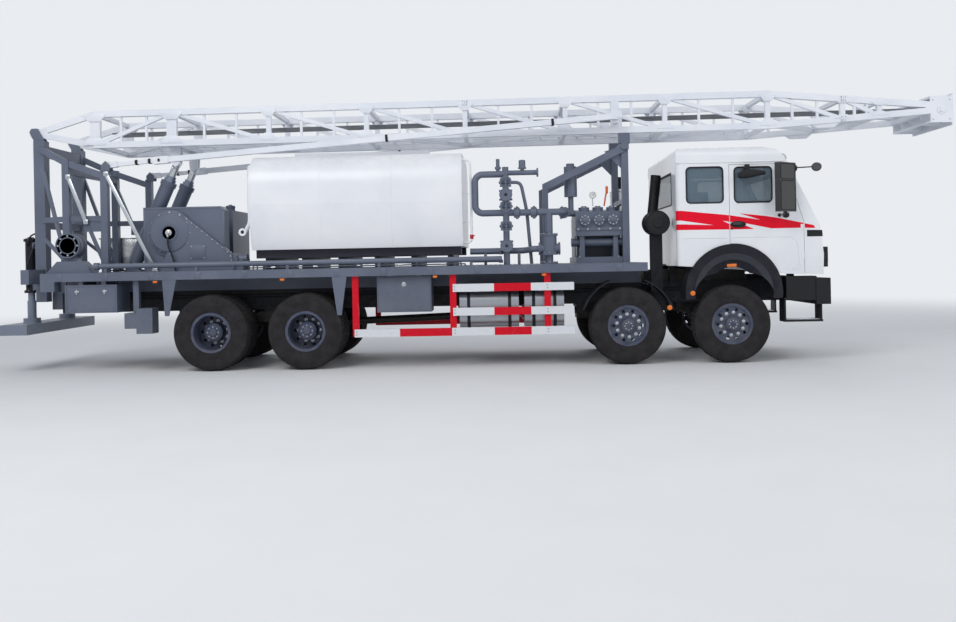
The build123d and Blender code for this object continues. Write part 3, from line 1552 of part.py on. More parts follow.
# Side struts: a square rod on the post, inside a square tube pinned to the mast
strut_run = Vector(strut_eye_x - strut_foot_x, 0, strut_eye_z - strut_foot_z)
strut_way = strut_run.normalized()
strut_length = strut_run.length
tube_start = 700
rod_end = 4200
strut_play = 1


def strut_point(along, side):
    """A place on a strut's middle line, measured from its foot."""
    return (
        strut_foot_x + strut_way.X * along,
        side * strut_y,
        strut_foot_z + strut_way.Z * along,
    )


struts = {"rods": [], "tubes": []}
for name, side in sides:
    with BuildPart() as strut:
        add(
            rod(
                (strut_foot_x, side * strut_y - strut_eye_half, strut_foot_z),
                (strut_foot_x, side * strut_y + strut_eye_half, strut_foot_z),
                eye_radius,
            )
        )
        width = 2 * strut_eye_half
        add(bar(strut_point(30, side), strut_point(160, side), width, width))
        add(bar(strut_point(150, side), strut_point(rod_end, side), strut_rod, strut_rod))
        add(
            rod(
                (strut_foot_x, side * strut_y - 60, strut_foot_z),
                (strut_foot_x, side * strut_y + 60, strut_foot_z),
                20 + pin_play,
            ),
            mode=Mode.SUBTRACT,
        )
    struts["rods"].append(strut.part)
    with BuildPart() as strut:
        add(
            bar(
                strut_point(tube_start, side),
                strut_point(strut_length - 60, side),
                strut_tube,
                strut_tube,
            )
        )
        add(bar(strut_point(tube_start, side), strut_point(tube_start + 220, side), 104, 104))
        add(
            bar(
                strut_point(strut_length - 80, side),
                strut_point(strut_length, side),
                width,
                strut_tube,
            )
        )
        add(
            rod(
                (strut_eye_x, side * strut_y - strut_eye_half, strut_eye_z),
                (strut_eye_x, side * strut_y + strut_eye_half, strut_eye_z),
                eye_radius,
            )
        )
        bore = strut_rod + 2 * strut_play
        add(
            bar(
                strut_point(tube_start - 1, side),
                strut_point(strut_length - 200, side),
                bore,
                bore,
            ),
            mode=Mode.SUBTRACT,
        )
        pin_start = side * (strut_y - strut_eye_half - clevis_play + seat_gap)
        pin_end = side * (strut_y + strut_eye_half + 15)
        add(rod((strut_eye_x, pin_start, strut_eye_z), (strut_eye_x, pin_end, strut_eye_z), 20))
    struts["tubes"].append(strut.part)
for name, pair in struts.items():
    save(Compound(children=pair), f"strut_{name}")

# Lift cylinders: a barrel on the deck and three stages that push the mast up
lift_run = Vector(lift_eye_x - lift_foot_x, 0, lift_eye_z - lift_foot_z)
lift_way = lift_run.normalized()
lift_length = lift_run.length


def lift_point(along, side):
    """A place on a lift cylinder's middle line, measured from its foot."""
    return (
        lift_foot_x + lift_way.X * along,
        side * lift_y,
        lift_foot_z + lift_way.Z * along,
    )


barrel_start, barrel_end = 60, 1400
stage_start, stage_step, gland_length = 110, 45, 60
lift_parts = {"barrels": [], "stage_1": [], "stage_2": [], "rods": []}
for name, side in sides:
    y = side * lift_y
    with BuildPart() as cylinder:
        eye = ((lift_foot_x, y - lift_eye_half, lift_foot_z), (lift_foot_x, y + lift_eye_half, lift_foot_z))
        add(rod(*eye, 58))
        add(
            rod(lift_point(barrel_start - 25, side), lift_point(barrel_end, side), lift_barrel_radius)
        )
        add(rod(lift_point(barrel_end - 70, side), lift_point(barrel_end, side), 118))
        bore = lift_stage_radii[0] + lift_play
        add(
            rod(lift_point(barrel_start + 40, side), lift_point(barrel_end + 1, side), bore),
            mode=Mode.SUBTRACT,
        )
        wide = (
            (lift_foot_x, y - lift_barrel_radius - 5, lift_foot_z),
            (lift_foot_x, y + lift_barrel_radius + 5, lift_foot_z),
        )
        add(rod(*wide, 30 + pin_play), mode=Mode.SUBTRACT)
        for flank in (-1, 1):
            near, far = y + flank * lift_eye_half, y + flank * 130
            add(
                rod((lift_foot_x, near, lift_foot_z), (lift_foot_x, far, lift_foot_z), 72),
                mode=Mode.SUBTRACT,
            )
    lift_parts["barrels"].append(cylinder.part)
    radii = list(lift_stage_radii)
    for place, part_name in enumerate(("stage_1", "stage_2")):
        end = barrel_end + (place + 1) * stage_step
        with BuildPart() as cylinder:
            start = stage_start + 30 * place
            add(rod(lift_point(start, side), lift_point(end, side), radii[place]))
            add(
                rod(
                    lift_point(start + 20, side),
                    lift_point(end + 1, side),
                    radii[place + 1] + lift_play,
                ),
                mode=Mode.SUBTRACT,
            )
        lift_parts[part_name].append(cylinder.part)
    with BuildPart() as cylinder:
        add(rod(lift_point(stage_start + 60, side), lift_point(lift_length - 30, side), radii[2]))
        eye = ((lift_eye_x, y - lift_eye_half, lift_eye_z), (lift_eye_x, y + lift_eye_half, lift_eye_z))
        add(rod(*eye, 58))
        for flank in (-1, 1):
            near, far = y + flank * lift_eye_half, y + flank * 130
            add(
                rod((lift_eye_x, near, lift_eye_z), (lift_eye_x, far, lift_eye_z), 75),
                mode=Mode.SUBTRACT,
            )
        pin_reach = lug_gap_half - seat_gap
        pin = ((lift_eye_x, y - pin_reach, lift_eye_z), (lift_eye_x, y + pin_reach, lift_eye_z))
        add(rod(*pin, 28))
    lift_parts["rods"].append(cylinder.part)
for name, pair in lift_parts.items():
    save(Compound(children=pair), f"lift_{name}")

# Front rest: a gantry on the deck that the mast lies on
rest_x = 2155
prop_x, prop_top_z = 985, 2560
rest_pad_z = chord_z(rest_x, False) - chord / 2 - 1
with BuildPart() as front_rest:
    for side in (-1, 1):
        y = side * mast_half_width
        add(block((rest_x - 50, y - 50, deck_top), (rest_x + 50, y + 50, 3180)))
        with BuildSketch(Plane(origin=(rest_x, y, 3170))):
            Rectangle(160, 110)
        extrude(amount=rest_pad_z - 3170)
        gusset = [(rest_x + 45, 3170), (rest_x - 290, 3060), (rest_x - 60, 2820), (rest_x + 45, 2820)]
        add(side_plate(gusset, y - 12, y + 12))
        brace_y = side * (mast_half_width + 45)
        add(bar((rest_x, brace_y, 3110), (prop_x, brace_y, prop_top_z), 60, 100))
        low, high = sorted((brace_y - 40, brace_y + 40))
        add(block((prop_x - 40, low, deck_top), (prop_x + 40, high, prop_top_z + 40)))
    add(block((rest_x - 55, -700, 3080), (rest_x + 55, 700, 3180)))
    add(block((rest_x - 35, -600, 2300), (rest_x + 35, 600, 2370)))
save(front_rest.part, "front_rest")

print(len(written), "parts written")
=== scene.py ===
# %% [markdown]
# A truck-mounted flush-by rig, dressed for a studio picture. The steel, glass and rubber come
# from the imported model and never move. This file gives each piece its finish and adds the small
# parts that a step away still show: tread, nuts, seals, hoses, hand wheels and gauges.
# Lengths are metres. +X is forward, +Y the truck's left, +Z up, and the ground is at Z = 0.

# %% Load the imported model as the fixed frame
import json
from math import cos, radians, sin, tau

import bmesh
import bpy
from mathutils import Matrix, Vector


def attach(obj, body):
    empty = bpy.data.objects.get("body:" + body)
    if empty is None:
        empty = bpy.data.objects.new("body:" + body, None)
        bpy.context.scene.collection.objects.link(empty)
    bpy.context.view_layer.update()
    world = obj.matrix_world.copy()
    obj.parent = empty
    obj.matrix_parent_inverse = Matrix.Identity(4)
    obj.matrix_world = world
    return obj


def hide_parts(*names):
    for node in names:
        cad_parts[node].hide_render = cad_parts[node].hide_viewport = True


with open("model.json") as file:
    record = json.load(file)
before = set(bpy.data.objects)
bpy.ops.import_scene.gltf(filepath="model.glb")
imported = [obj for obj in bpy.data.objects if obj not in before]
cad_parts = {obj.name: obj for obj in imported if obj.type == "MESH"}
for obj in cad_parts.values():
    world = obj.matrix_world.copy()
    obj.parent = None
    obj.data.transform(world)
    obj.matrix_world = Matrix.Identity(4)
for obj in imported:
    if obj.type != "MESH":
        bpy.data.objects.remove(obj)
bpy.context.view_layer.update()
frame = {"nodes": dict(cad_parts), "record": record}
nodes = frame["nodes"]

# %% [markdown]
# The picture was taken from the right side at chest height, with the camera held not quite
# level. A camera is only as good as the lengths it is solved from, so this one comes from the
# wheelbases: the known distances between the axles fix how far back it stands, its small turn
# and its tilt. The tilt goes into the camera's own matrix, because the truck stays level.

# %% Camera
PICTURE_WIDTH, PICTURE_HEIGHT = 956, 622
FOCAL_PIXELS = 919
AXIS_PIXEL = (478, 260.5)
SENSOR_MM = 36
CAMERA_PLACE = Vector((0.335, -14.12, 1.5))
CAMERA_TURN = radians(1.5)
CAMERA_ROLL = radians(1.12)

lens = bpy.data.cameras.new("camera")
lens.sensor_width = SENSOR_MM
lens.lens = SENSOR_MM * FOCAL_PIXELS / PICTURE_WIDTH
lens.shift_y = (AXIS_PIXEL[1] - PICTURE_HEIGHT / 2) / PICTURE_WIDTH
forward = Vector((-sin(CAMERA_TURN), cos(CAMERA_TURN), 0))
level = Vector((cos(CAMERA_TURN), sin(CAMERA_TURN), 0))
plumb = Vector((0, 0, 1))
camera_right = level * cos(CAMERA_ROLL) - plumb * sin(CAMERA_ROLL)
camera_up = level * sin(CAMERA_ROLL) + plumb * cos(CAMERA_ROLL)
camera = bpy.data.objects.new("camera", lens)
turned = Matrix((camera_right, camera_up, -forward)).transposed()
camera.matrix_world = Matrix.Translation(CAMERA_PLACE) @ turned.to_4x4()
bpy.context.scene.collection.objects.link(camera)
bpy.context.scene.camera = camera
print("camera", round(lens.lens, 2), "mm")

# %% [markdown]
# Colours are written as a painter reads them off a screen, in sRGB hex, and shaders want them
# linear, so one function turns them. A second function adds a shader node with its settings and
# its links. A node given as a value is linked by its first output, which keeps each finish
# readable as a list of what it is made of. The short ones after it name the four kinds of node
# that every finish here is made from: noise, a stretched range, a blend and a sum.

# %% Colour and shader helpers
MM = 0.001


def linear(code):
    """An sRGB hex colour as the linear colour that shaders want."""
    parts = [int(code[at : at + 2], 16) / 255 for at in (1, 3, 5)]
    return (*[c / 12.92 if c <= 0.04045 else ((c + 0.055) / 1.055) ** 2.4 for c in parts], 1)


def add(tree, kind, inputs, **settings):
    """Adds a shader node. inputs maps a socket's name or number to a value, socket or node."""
    node = tree.nodes.new("ShaderNode" + kind)
    for name, value in settings.items():
        setattr(node, name, value)
    for key, value in inputs.items():
        usable = [socket for socket in node.inputs if socket.enabled]
        socket = usable[key] if isinstance(key, int) else {s.name: s for s in usable}[key]
        if isinstance(value, bpy.types.Node):
            value = next(output for output in value.outputs if output.enabled)
        if isinstance(value, bpy.types.NodeSocket):
            tree.links.new(value, socket)
        else:
            socket.default_value = value
    return node


def noise(tree, place, size_mm, detail=2.0, roughness=0.5):
    """Noise whose patches have about the given size."""
    scale = 1 / (size_mm * MM)
    inputs = {"Vector": place, "Scale": scale, "Detail": detail, "Roughness": roughness}
    return add(tree, "TexNoise", inputs)


def stretched(tree, value, start, end, low=0.0, high=1.0):
    """A value taken from the range start to end over to the range low to high."""
    inputs = {"Value": value, "From Min": start, "From Max": end, "To Min": low, "To Max": high}
    return add(tree, "MapRange", inputs)


def blended(tree, share, first, second):
    """Two colours, mixed by a share of the second."""
    return add(tree, "Mix", {"Factor": share, "A": first, "B": second}, data_type="RGBA")


def worked_out(tree, operation, *values):
    """A sum on one or two values."""
    return add(tree, "Math", dict(enumerate(values)), operation=operation)


def new_finish(name):
    """An empty material, its node tree and the place on the truck that its nodes read."""
    finish = bpy.data.materials.new(name)
    finish.use_nodes = True
    tree = finish.node_tree
    tree.nodes.clear()
    return finish, tree, add(tree, "TexCoord", {}).outputs["Object"]


def give_skin(tree, relief, depth_mm, inputs):
    """Ends a finish with its surface, raised by a relief of the given depth."""
    bump = add(tree, "Bump", {"Height": relief, "Distance": depth_mm * MM})
    skin = add(tree, "BsdfPrincipled", {"Normal": bump, **inputs})
    add(tree, "OutputMaterial", {"Surface": skin})


# %% [markdown]
# Nearly everything here is painted steel that has stood on a dusty road, so all the paints are
# made one way: a sprayed film with a slow drift of tone, the faint dimples that painters call
# orange peel, and dust. Dust is thickest low down and on faces that look up, so its amount comes
# from the height above the ground and from the face's direction, not from a picture.

# %% Sprayed paint
ROAD_DUST = linear("#8d867c")
DRIFT_MM = 700
PEEL_MM, PEEL_DEPTH_MM = 12, 0.04
GRIME_MM = 110
DUSTY_BELOW, DUSTIEST_BELOW = 1.7, 0.3
MOULDING_BLACK = linear("#0e0f13")
DOOR_PANEL_EDGE = 1.229


def sprayed_paint(
    name, colour, drifted, gloss, dust=0.3, clear_coat=0.0, shine=0.5, black_beyond=None
):
    """A paint film with tone drift, road dust and orange peel.

    shine is how much the film mirrors: 0.5 for fresh enamel, less where it has gone flat.
    black_beyond is how far from the truck's middle the panel ends and its black mouldings begin.
    """
    finish, tree, place = new_finish(name)
    share = stretched(tree, noise(tree, place, DRIFT_MM), 0.35, 0.65)
    film = blended(tree, share, linear(colour), linear(drifted))
    axes = add(tree, "SeparateXYZ", {"Vector": place}).outputs
    if black_beyond:
        reach = worked_out(tree, "ABSOLUTE", axes["Y"])
        moulded = worked_out(tree, "GREATER_THAN", reach, black_beyond)
        film = blended(tree, moulded, film, MOULDING_BLACK)
    low_down = stretched(tree, axes["Z"], DUSTY_BELOW, DUSTIEST_BELOW)
    facing = add(tree, "NewGeometry", {}).outputs["Normal"]
    looks_up = add(tree, "SeparateXYZ", {"Vector": facing}).outputs["Z"]
    settled = stretched(tree, looks_up, 0.4, 1.0, 0.1, 0.7)
    grime = noise(tree, place, GRIME_MM, 7.0, 0.65)
    patchy = stretched(tree, grime, 0.38, 0.7, 0.0, dust)
    most = worked_out(tree, "MAXIMUM", low_down, settled)
    amount = worked_out(tree, "MULTIPLY", most, patchy)
    surface = {
        "Base Color": blended(tree, amount, film, ROAD_DUST),
        "Roughness": stretched(tree, amount, 0.0, 1.0, gloss, 0.9),
        "Specular IOR Level": shine,
        "Coat Weight": clear_coat,
        "Coat Roughness": 0.06,
    }
    give_skin(tree, noise(tree, place, PEEL_MM), PEEL_DEPTH_MM, surface)
    return finish


cab_enamel = sprayed_paint(
    "gloss_white_cab_enamel", "#f0f1f4", "#e9ebef", 0.25, dust=0.25, clear_coat=0.5
)
door_enamel = sprayed_paint(
    "gloss_white_door_enamel",
    "#f0f1f4",
    "#e9ebef",
    0.25,
    dust=0.25,
    clear_coat=0.5,
    black_beyond=DOOR_PANEL_EDGE,
)
mast_paint = sprayed_paint("white_mast_paint", "#eaecf2", "#e1e5ed", 0.4)
tank_paint = sprayed_paint(
    "white_tank_paint", "#f3f3f6", "#ebedf1", 0.34, dust=0.25, clear_coat=0.08
)
machine_paint = sprayed_paint("blue_grey_machine_paint", "#626a7c", "#596173", 0.42, dust=0.35)
beam_paint = sprayed_paint("light_blue_grey_beam_paint", "#7c8698", "#737d90", 0.4, dust=0.35)
chassis_paint = sprayed_paint(
    "near_black_chassis_paint", "#121521", "#0f111a", 0.5, dust=0.2, shine=0.25
)
wheel_enamel = sprayed_paint(
    "blue_grey_wheel_enamel", "#454e66", "#3d455b", 0.45, dust=0.35, shine=0.35
)
# Navy for the tank cradle: partly the cradle's own dark paint, partly painted shade under the tank.
navy_paint_and_painted_shade = sprayed_paint("navy_cradle_paint_and_painted_shade", "#23273a", "#1c2030", 0.5)
stripe_film = sprayed_paint("red_vinyl_stripe", "#ee0029", "#e60025", 0.4, dust=0.03, shine=0.2)
beacon_amber = sprayed_paint("amber_acrylic_lens", "#f07c1c", "#e87012", 0.15, dust=0.1)
lever_orange = sprayed_paint("orange_lever_dip", "#df5f1b", "#d45615", 0.35, dust=0.2)
handle_red = sprayed_paint("red_lever_dip", "#c3182a", "#b81425", 0.3, dust=0.2)
button_green = sprayed_paint("green_button_cap", "#1f7a43", "#1b6f3c", 0.3, dust=0.1)
gauge_white = sprayed_paint("white_gauge_dial", "#e8e8e4", "#e0e0dc", 0.5, dust=0.05)
print("painted finishes made")

# %% [markdown]
# The side guards carry red and white bands. A sprayer masks them off by length, so the paint
# reads the place along the truck and changes colour there. The posts behind the rails are red all
# over. Scuffs are where boots and hoses rub.

# %% Banded guard enamel
GUARD_RED, GUARD_WHITE = linear("#d80022"), linear("#e4e6ea")
BAND_STARTS = ((-1.120, GUARD_RED), (-0.385, GUARD_WHITE), (0.213, GUARD_RED), (0.732, GUARD_WHITE))
EDGE_SOFT = 0.002
POST_FACE = 1.195
SCUFF_MM, SCUFF_DEPTH_MM = 60, 0.1


def banded_enamel(name, first, starts):
    """A paint whose colour changes at the given places along the truck."""
    finish, tree, place = new_finish(name)
    axes = add(tree, "SeparateXYZ", {"Vector": place}).outputs
    colour = first
    for start, paint in starts:
        passed = stretched(tree, axes["X"], start - EDGE_SOFT, start + EDGE_SOFT)
        colour = blended(tree, passed, colour, paint)
    reach = worked_out(tree, "ABSOLUTE", axes["Y"])
    on_post = worked_out(tree, "LESS_THAN", reach, POST_FACE)
    colour = blended(tree, on_post, colour, GUARD_RED)
    scuffs = noise(tree, place, SCUFF_MM, 8.0, 0.7)
    worn = stretched(tree, scuffs, 0.58, 0.75, 0.0, 0.30)
    surface = {
        "Base Color": blended(tree, worn, colour, ROAD_DUST),
        "Roughness": stretched(tree, worn, 0.0, 1.0, 0.35, 0.85),
        "Specular IOR Level": 0.25,
    }
    give_skin(tree, scuffs, SCUFF_DEPTH_MM, surface)
    return finish


guard_enamel = banded_enamel("red_and_white_guard_enamel", GUARD_WHITE, BAND_STARTS)
print("guard bands", len(BAND_STARTS))

# %% [markdown]
# Bare and plated metals have no colour film, so their look is all in how they were worked: drawn
# tube and rolled sheet show long fine lines, ground chrome almost none, and wire rope its lay. The
# lines are stretched along X because the sheets here were rolled that way.

# %% Worked metals
CLOUD_MM = 150
ROLLED = (0.05, 1, 1)


def worked_metal(name, colour, rough, grain_mm, depth_mm, stretch=(1, 1, 1)):
    """Bare metal with the marks of its working."""
    finish, tree, place = new_finish(name)
    drawn = add(tree, "Mapping", {"Vector": place, "Scale": stretch})
    marks = noise(tree, drawn, grain_mm, 5.0)
    both = worked_out(tree, "MULTIPLY", marks, noise(tree, place, CLOUD_MM))
    polish = stretched(tree, both, 0.1, 0.4, rough * 0.75, min(1, rough * 1.4))
    surface = {"Base Color": linear(colour), "Metallic": 1.0, "Roughness": polish}
    give_skin(tree, marks, depth_mm, surface)
    return finish


chrome = worked_metal("ground_hard_chrome", "#c4c8cc", 0.12, 40, 0.005)
oiled_steel = worked_metal("oiled_ground_steel", "#848c9e", 0.28, 40, 0.005)
aluminium_sheet = worked_metal("rolled_aluminium_sheet", "#a3a7ad", 0.38, 4, 0.02, ROLLED)
stainless = worked_metal("polished_stainless_sheet", "#c0c2c4", 0.2, 6, 0.01, ROLLED)
zinc = worked_metal("bright_zinc_plate", "#b4b8bd", 0.32, 8, 0.01)
wire_rope = worked_metal("galvanised_wire_rope", "#74777b", 0.45, 5, 0.4)
mirror_silver = worked_metal("silvered_mirror_glass", "#cfd3d6", 0.04, 90, 0.001)
print("metals made")

# %% [markdown]
# Rubber, plastic and oily castings are not metals: their colour comes from carbon black or
# pigment, and what changes over them is bloom, oil and dust. Tyre rubber bleaches to a warm grey;
# polypropylene mouldings carry a cast grain, here drawn coarser than life so that it shows.

# %% Rubber, mouldings and castings


def dull_solid(name, colour, bloom, rough_low, rough_high, patch_mm, grain_mm, depth_mm):
    """A through-coloured material with patches of bloom and a cast grain."""
    finish, tree, place = new_finish(name)
    share = stretched(tree, noise(tree, place, patch_mm, 6.0, 0.6), 0.35, 0.7)
    grain = add(tree, "TexVoronoi", {"Vector": place, "Scale": 1 / (grain_mm * MM)})
    surface = {
        "Base Color": blended(tree, share, linear(colour), linear(bloom)),
        "Roughness": stretched(tree, share, 0.0, 1.0, rough_low, rough_high),
        "IOR": 1.4,
    }
    give_skin(tree, grain.outputs["Distance"], depth_mm, surface)
    return finish


tyre_rubber = dull_solid("carbon_black_tyre_rubber", "#171618", "#343132", 0.8, 0.95, 150, 4, 0.1)
seal_rubber = dull_solid("extruded_seal_rubber", "#141519", "#222329", 0.5, 0.7, 80, 3, 0.05)
hose_cover = dull_solid("synthetic_hose_cover", "#15161a", "#26272c", 0.45, 0.7, 60, 3, 0.1)
black_moulding = dull_solid("grained_polypropylene", "#0c0d10", "#15161a", 0.55, 0.7, 200, 5, 0.1)
grey_trim = dull_solid("grey_abs_cab_trim", "#46474c", "#3d3e43", 0.5, 0.65, 200, 4, 0.08)
oily_forging = dull_solid("oily_black_forging", "#15161a", "#37342f", 0.3, 0.75, 60, 8, 0.3)
# The arch skirts' lip rubber is real, but its lighter grey is a painted highlight along the ridge.
lip_rubber_with_painted_highlight = dull_solid("grey_lip_rubber_painted_highlight", "#33353c", "#3f4149", 0.5, 0.7, 120, 4, 0.1)
print("rubber and plastics made")

# %% [markdown]
# Cab glass is a thin toughened sheet. A solid pane that bends light would need two clean faces and
# many bounces, and gives nothing at this distance, so the pane is a tinted gloss sheet that lets
# part of the light through, with a trace of dried wash water in its roughness.

# %% Glass
WASH_MM = 180


def thin_glass(name, tint, covers, smear):
    """A sheet of glass: tint, how much it covers what is behind, and its smear roughness."""
    finish, tree, place = new_finish(name)
    rough = stretched(tree, noise(tree, place, WASH_MM, 6.0), 0.4, 0.8, 0.02, smear)
    inputs = {"Base Color": linear(tint), "Roughness": rough, "IOR": 1.52, "Alpha": covers}
    add(tree, "OutputMaterial", {"Surface": add(tree, "BsdfPrincipled", inputs)})
    return finish


cab_pane = thin_glass("toughened_cab_glass", "#6f8593", 0.5, 0.12)
lamp_lens = thin_glass("clear_lamp_lens", "#e8ecef", 0.35, 0.2)
print("glass made")

# %% [markdown]
# The model names a finish for each of its pieces. Giving the material to the piece's own slot
# keeps the shape exactly as the model has it, and the moving parts move with their finish.

# %% Dress the model's own pieces
FINISHES = {
    "tyre_rubber": tyre_rubber,
    "wheel_enamel": wheel_enamel,
    "chassis_black": chassis_paint,
    "machine_grey": machine_paint,
    "cab_white": cab_enamel,
    "mast_white": mast_paint,
    "tank_white": tank_paint,
    "guard_stripe": guard_enamel,
    "hard_chrome": chrome,
    "cab_glass": cab_pane,
    "cab_trim": grey_trim,
    "bumper_plastic": black_moulding,
    "tank_aluminium": aluminium_sheet,
    "forged_steel": oily_forging,
}
for part in frame["record"]["subparts"]:
    shape = nodes[part["node"]].data
    shape.materials.clear()
    shape.materials.append(FINISHES[part["material_slot"]])
OWN_FINISH = {
    # The cradle's navy is partly its own paint and partly painted shade under the tank.
    "tank_cradle": navy_paint_and_painted_shade,
    "door_right": door_enamel,
    "door_left": door_enamel,
    "jack_beam": beam_paint,
    "engine_gear": chassis_paint,
    "lift_stage_1": oiled_steel,
    "lift_stage_2": oiled_steel,
}
for name, finish in OWN_FINISH.items():
    nodes[name].data.materials[0] = finish
print(len(nodes), "pieces of the model dressed")

# %% [markdown]
# All the added pieces are made the same way: shapes are collected in one bmesh, its edges are
# given a small radius, and the result becomes an object that rides on a body. Steel that was
# cut, bent or cast never has a perfectly sharp edge, and the small radius catches the light
# just as the real edge does. Each helper below adds one kind of stock: plate, bar, tube, turned
# part and bent pipe.

# %% Stock to build from
ROUND_STEPS = 28
BEND_STEPS = 6
CREASE = radians(32)
ROD_CHAMFER = 0.15
ACROSS, LEFT, UP = Vector((1, 0, 0)), Vector((0, 1, 0)), Vector((0, 0, 1))
AXES = {"X": ACROSS, "Y": LEFT, "Z": UP}
RIGHT = -LEFT
SIDES = (("right", -1), ("left", 1))
made_pieces = []


class Stock:
    """Collects shapes of one finish, then makes them a piece that rides on a body."""

    def __init__(self):
        self.mesh = bmesh.new()

    def eased(self, edges, radius):
        """Rounds edges off a little, each once and always in the same order."""
        edges = list(dict.fromkeys(edges))
        bmesh.ops.bevel(
            self.mesh, geom=edges, offset=radius, segments=2, profile=0.5, affect="EDGES"
        )

    def cube(self, placed, radius):
        """A cube of size one whose corners a function carries to their places."""
        corners = bmesh.ops.create_cube(self.mesh, size=1)["verts"]
        for corner in corners:
            corner.co = placed(*corner.co)
        rims = (rim for corner in corners for rim in corner.link_edges)
        self.eased(rims, radius)

    def ring(self, middle, across, other, radius, steps):
        """A ring of points, or one point where the radius is nothing."""
        if radius < 1e-6:
            return [self.mesh.verts.new(middle)]
        turns = [tau * at / steps for at in range(steps)]
        return [
            self.mesh.verts.new(middle + across * (radius * cos(t)) + other * (radius * sin(t)))
            for t in turns
        ]

    def skin(self, rings, capped=True):
        """Joins each ring to the next by faces, and closes the two ends."""
        steps = max(len(ring) for ring in rings)
        faces = []
        for here, there in zip(rings, rings[1:]):
            for at in range(steps):
                after = (at + 1) % steps
                corners = [here[at % len(here)], here[after % len(here)]]
                corners += [there[after % len(there)], there[at % len(there)]]
                corners = list(dict.fromkeys(corners))
                if len(corners) > 2:
                    faces.append(self.mesh.faces.new(corners))
        ends = [self.mesh.faces.new(r) for r in (rings[0], rings[-1]) if capped and len(r) > 2]
        bmesh.ops.recalc_face_normals(self.mesh, faces=faces + ends)
        return ends

    def block(self, low, high, edge=0.004):
        """A box between two corners, in any order, with its edges eased."""
        low, high = Vector(map(min, zip(low, high))), Vector(map(max, zip(low, high)))
        size, middle = high - low, (low + high) / 2
        self.cube(lambda *share: middle + Vector(share) * size, min(edge, min(size) * 0.3))

    def bar(self, start, end, wide, high, across=LEFT, edge=0.004):
        """A square bar or tube from one point to another."""
        start, run = Vector(start), Vector(end) - Vector(start)
        other = run.cross(Vector(across)).normalized()
        across = other.cross(run).normalized()
        self.cube(
            lambda x, y, z: start + run * (x + 0.5) + across * y * wide + other * z * high,
            min(edge, wide * 0.3, high * 0.3),
        )

    def plate(self, outline, near, far, edge=0.0):
        """An upright plate cut to an outline of (along, height), from one side to another."""
        rings = [[self.mesh.verts.new((x, y, z)) for x, z in outline] for y in (near, far)]
        ends = self.skin(rings)
        if edge:
            self.eased((rim for face in ends for rim in face.edges), edge)

    def turned(self, profile, centre, axis="Y", steps=ROUND_STEPS, capped=True):
        """A turned part: (offset along the axis, radius) pairs spun about the axis."""
        across = LEFT if axis == "X" else ACROSS
        self.spun(profile, centre, AXES[axis], across, steps, capped)

    def spun(self, profile, centre, along, across=ACROSS, steps=ROUND_STEPS, capped=True):
        """The same about any direction."""
        centre, other = Vector(centre), along.cross(across)
        rings = [self.ring(centre + along * at, across, other, r, steps) for at, r in profile]
        self.skin(rings, capped)

    def rod(self, start, end, radius, steps=ROUND_STEPS):
        """A round bar with chamfered ends."""
        start, end = Vector(start), Vector(end)
        long = (end - start).length
        along = (end - start).normalized()
        cut = min(radius * ROD_CHAMFER, long * 0.3)
        profile = [(0, radius - cut), (cut, radius), (long - cut, radius), (long, radius - cut)]
        self.spun(profile, start, along, along.orthogonal().normalized(), steps)

    def pipe(self, points, radius, steps=14, bend=4):
        """A round pipe or hose through points, with its corners bent."""
        points = [Vector(point) for point in points]
        path = [points[0]]
        for before, here, after in zip(points, points[1:], points[2:]):
            reach = min(radius * bend, (here - before).length / 2, (after - here).length / 2)
            start = here + (before - here).normalized() * reach
            end = here + (after - here).normalized() * reach
            for share in (at / BEND_STEPS for at in range(BEND_STEPS + 1)):
                rest = 1 - share
                path.append(start * rest**2 + here * 2 * share * rest + end * share**2)
        path.append(points[-1])
        across = (path[1] - path[0]).orthogonal().normalized()
        rings = []
        for at, place in enumerate(path):
            way = path[min(at + 1, len(path) - 1)] - path[max(at - 1, 0)]
            way.normalize()
            across = (across - way * across.dot(way)).normalized()
            rings.append(self.ring(place, across, way.cross(across), radius, steps))
        self.skin(rings)

    def bolts(self, places, way, size, height):
        """Hexagon bolt heads with their round washers, facing one way."""
        way = Vector(way).normalized()
        across = way.orthogonal().normalized()
        washer = [(0, size * 1.25), (0.002, size * 1.25), (0.002, size), (0.002, 0)]
        head = [(0.002, size), (height * 0.8, size), (height, size * 0.85), (height, 0)]
        for place in places:
            self.spun(washer, place, way, across, 12)
            self.spun(head, place, way, across, 6)

    def become(self, name, body, finish, slot=None, instead_of=()):
        """Ends the collecting: a named object with its finish, riding on a body."""
        shape = bpy.data.meshes.new(name)
        self.mesh.to_mesh(shape)
        self.mesh.free()
        for face in shape.polygons:
            face.use_smooth = True
        shape.set_sharp_from_angle(angle=CREASE)
        shape.materials.append(finish)
        piece = bpy.data.objects.new(name, shape)
        bpy.context.scene.collection.objects.link(piece)
        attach(piece, body)
        if instead_of:
            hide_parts(*instead_of)
        made_pieces.append((name, len(shape.polygons)))


def ring_about(centre, radius, count, axis="Y", start=0.0):
    """Places at equal steps round a centre, in the plane across the Y or the Z axis."""
    centre, other = Vector(centre), {"Y": UP, "Z": LEFT}[axis]
    turns = [start + tau * at / count for at in range(count)]
    return [centre + ACROSS * (radius * cos(t)) + other * (radius * sin(t)) for t in turns]


# %% [markdown]
# A truck tyre is a turned carcass with tread blocks standing on it. Spinning the section gives
# the sidewall, with the raised rib that guards it against kerbs and the shallow rings around the
# bead. The tread is five rows of blocks with angled cuts between them, repeated round the tyre,
# so one block of each row is made and turned in equal steps, as a tyre mould is.

# %% Tyre with its tread
TYRE_RADIUS = 0.545
HALF_TREAD = 0.13
TREAD_DEPTH = 0.014
CROWN_DROP = 0.017
BLOCKS_ROUND = 54
BLOCK_SHARE = 0.74
BLOCK_CHAMFER = 0.004
CARCASS_STEPS = 72
